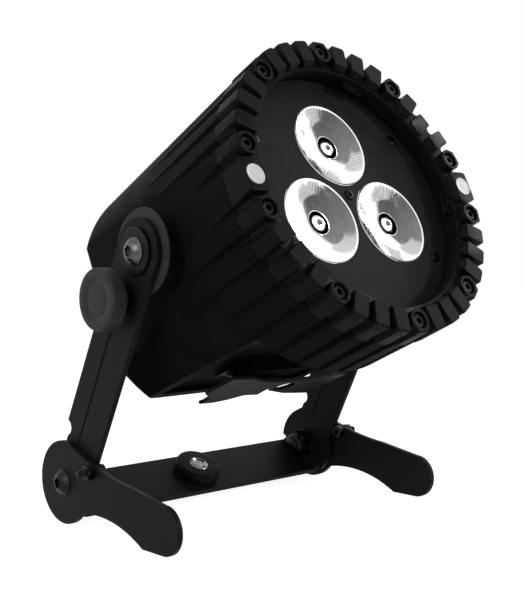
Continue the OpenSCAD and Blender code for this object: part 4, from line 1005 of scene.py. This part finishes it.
# Breather plug: a low round cap with a hollow middle, on a plain stem
ventPlug = {"hollow": [(0, 0.5), (0.45, 0.5), (0.55, 0.1), (0.8, 0)], "edgeWide": 0.2,
            "edgeAt": 0.15, "edgeDeep": 0.5, "headH": 1.5, "stemR": 2.9, "stemEdge": 0.3,
            "steps": 48, "smooth": 35}


def makeVentPlug():
    centre, span = solidPlaces("vent_plug", headFrame)[0]
    headR, length = span.x / 2, span.z
    stemR, stemEdge = ventPlug["stemR"], ventPlug["stemEdge"]
    outline = [(headR * share, z) for share, z in ventPlug["hollow"]]
    outline += [(headR - ventPlug["edgeWide"], ventPlug["edgeAt"]), (headR, ventPlug["edgeDeep"]),
                (headR, ventPlug["headH"]), (stemR, ventPlug["headH"]),
                (stemR, length - stemEdge), (stemR - stemEdge, length), (0, length)]
    shape = turnedSmooth("vent_plug_moulded", outline, ventPlug)
    return settle(shape, headPlace(centre.x, centre.y, centre.z - span.z / 2))


fit(makeVentPlug(), "plastic", "vent_plug")

# Push buttons on the rear cover: round caps with a dished top, a flange and a stem
buttonCap = {"cap": [(0, 0.35), (2.2, 0.22), (3.2, 0), (3.65, 0.05), (4, 0.45), (4, 4.5)],
             "flange": [(5.5, 4.5), (5.5, 5.5)], "stemR": 1.6, "steps": 48, "smooth": 35}
for nodeName in ("menu_button", "down_button", "up_button", "enter_button"):
    centre, span = solidPlaces(nodeName, headFrame)[0]
    flangeTop = buttonCap["flange"][-1][1]
    outline = buttonCap["cap"] + buttonCap["flange"] + [
        (buttonCap["stemR"], flangeTop), (buttonCap["stemR"], span.z), (0, span.z)]
    shape = turnedSmooth(nodeName + "_moulded", outline, buttonCap)
    place = headPlace(centre.x, centre.y, reachAlong(nodeName, headFrame)[0])
    fit(settle(shape, place), "rubber", nodeName)
print("stage: buttons")


# Floor, lights and camera
ground = {"size": 6, "colour": "#bcbcbc", "glow": 0.9}


# The camera and the mirrored and bent rays see a floor as pale as the room, which keeps the
# shadow; the object's own light comes back from plain grey
def paleFloor():
    deselectAll()
    bpy.ops.mesh.primitive_plane_add(size=ground["size"], location=(0, 0, 0))
    floor = bpy.context.object
    floor.name = "floor"
    material, tree = emptyMaterial("paleFloor")
    rays = addNode(tree, "ShaderNodeLightPath")
    mirrored = addNode(tree, "ShaderNodeMath", {"operation": "MAXIMUM"},
                       {0: rays.outputs["Is Transmission Ray"], 1: rays.outputs["Is Glossy Ray"]})
    seen = addNode(tree, "ShaderNodeMath", {"operation": "MAXIMUM"},
                   {0: rays.outputs["Is Camera Ray"], 1: mirrored.outputs[0]})
    matt = addNode(tree, "ShaderNodeBsdfDiffuse", {"Color": hexColour(ground["colour"])})
    glow = addNode(tree, "ShaderNodeEmission",
                   {"Color": (1, 1, 1, 1), "Strength": ground["glow"]})
    bright = addNode(tree, "ShaderNodeAddShader", links={0: matt.outputs[0], 1: glow.outputs[0]})
    mix = addNode(tree, "ShaderNodeMixShader", links={
        0: seen.outputs[0], 1: matt.outputs[0], 2: bright.outputs[0]})
    addNode(tree, "ShaderNodeOutputMaterial", links={"Surface": mix.outputs[0]})
    floor.data.materials.append(material)


# The pale room with one dark screen in it, as beside a real camera: the camera sees white
# everywhere, and mirrored or bent rays see the screen too, an ellipse of directions. Its width
# and height are half angles in degrees
room = {"level": 0.28, "white": 1.15, "screenMiddle": (0.502, -0.651, 0.57),
        "screenUp": (-0.43, 0.39, 0.814), "screenWide": 26, "screenTall": 17.4, "edgeFrom": 0.85,
        "shadeLow": 0.04, "shadeHigh": 0.3}


def studioWorld():
    world = bpy.data.worlds.new("studio")
    world.use_nodes = True
    bpy.context.scene.world = world
    tree = world.node_tree
    tree.nodes.clear()
    ahead = addNode(tree, "ShaderNodeTexCoord").outputs["Generated"]
    middle, tall = unit(room["screenMiddle"]), unit(room["screenUp"])
    wide = middle.cross(tall).normalized()
    offsets, squares = [], []
    for axis, degrees in ((wide, room["screenWide"]), (wide.cross(middle), room["screenTall"])):
        scaled = axis / math.sin(math.radians(degrees))
        along = addNode(tree, "ShaderNodeVectorMath",
                        {"operation": "DOT_PRODUCT", 1: scaled}, {0: ahead}).outputs["Value"]
        offsets.append(along)
        squares.append(addNode(tree, "ShaderNodeMath", {"operation": "MULTIPLY"},
                               {0: along, 1: along}).outputs[0])
    far = addNode(tree, "ShaderNodeMath", {"operation": "ADD"}, {0: squares[0], 1: squares[1]})
    edge = addNode(tree, "ShaderNodeMapRange",
                   {"From Min": room["edgeFrom"], "From Max": 1.0,
                    "To Min": 0.0, "To Max": room["white"]}, {"Value": far.outputs[0]})
    shade = addNode(tree, "ShaderNodeMapRange",
                    {"From Min": -1.0, "From Max": 1.0,
                     "To Min": room["shadeLow"], "To Max": room["shadeHigh"]},
                    {"Value": offsets[1]})
    seen = addNode(tree, "ShaderNodeMath", {"operation": "MAXIMUM"},
                   {0: edge.outputs["Result"], 1: shade.outputs["Result"]})
    rays = addNode(tree, "ShaderNodeLightPath")
    bent = addNode(tree, "ShaderNodeMath", {"operation": "MAXIMUM"},
                   {0: rays.outputs["Is Glossy Ray"], 1: rays.outputs["Is Transmission Ray"]})
    light = addNode(tree, "ShaderNodeBackground",
                    {"Color": (1, 1, 1, 1), "Strength": room["level"]})
    around = addNode(tree, "ShaderNodeBackground", {"Color": (1, 1, 1, 1)},
                     {"Strength": seen.outputs[0]})
    white = addNode(tree, "ShaderNodeBackground", {"Color": (1, 1, 1, 1), "Strength": 1.0})
    mirrored = addNode(tree, "ShaderNodeMixShader", links={
        0: bent.outputs[0], 1: light.outputs[0], 2: around.outputs[0]})
    mix = addNode(tree, "ShaderNodeMixShader", links={
        0: rays.outputs["Is Camera Ray"], 1: mirrored.outputs[0], 2: white.outputs[0]})
    addNode(tree, "ShaderNodeOutputWorld", links={"Surface": mix.outputs[0]})


lampAim = Vector((0, 0, 0.13))
lamps = {
    "sideLamp": {"place": (-1.5, -0.35, 0.75), "size": 0.8, "power": 9},
    "frontLamp": {"place": (0.97, -1.15, 0.53), "size": 0.22, "power": 7},
    "rimLamp": {"place": (1.36, -0.16, 0.8), "size": 0.5, "power": 6},
}


def addLamp(name, settings):
    deselectAll()
    bpy.ops.object.light_add(type="AREA", location=settings["place"])
    lamp = bpy.context.object
    lamp.name = name
    lamp.data.shape = "DISK"
    lamp.data.size = settings["size"]
    lamp.data.energy = settings["power"]
    lamp.rotation_euler = (lampAim - Vector(settings["place"])).to_track_quat("-Z", "Y").to_euler()


paleFloor()
studioWorld()
for lampName, settings in lamps.items():
    addLamp(lampName, settings)

# Camera fitted to the photograph: its angles in degrees, its place from the tilt axis
camera = {"heading": 42.024, "down": 2.344, "roll": -0.441,
          "fromPivotMm": (-391.65, -426.18, -2.68), "focalPx": 1076.12, "longSidePx": 600,
          "sensorMm": 36, "near": 0.01, "far": 20}


def placeCamera():
    heading, down, roll = (math.radians(camera[key]) for key in ("heading", "down", "roll"))
    level = math.cos(down)
    ahead = Vector((math.sin(heading) * level, math.cos(heading) * level, -math.sin(down)))
    right = Vector((math.cos(heading), -math.sin(heading), 0))
    up = right.cross(ahead)
    tiltedRight = math.cos(roll) * right + math.sin(roll) * up
    tiltedUp = -math.sin(roll) * right + math.cos(roll) * up
    data = bpy.data.cameras.new("photoCamera")
    data.sensor_width = camera["sensorMm"]
    data.lens = camera["sensorMm"] * camera["focalPx"] / camera["longSidePx"]
    data.clip_start = camera["near"]
    data.clip_end = camera["far"]
    cameraObject = bpy.data.objects.new("photoCamera", data)
    bpy.context.scene.collection.objects.link(cameraObject)
    place = pivot + Vector(camera["fromPivotMm"]) * mm
    cameraObject.matrix_world = axesMatrix(place, tiltedRight, tiltedUp, -ahead)
    bpy.context.scene.camera = cameraObject


placeCamera()
bpy.context.scene.view_settings.view_transform = "Standard"
print("stage: studio")
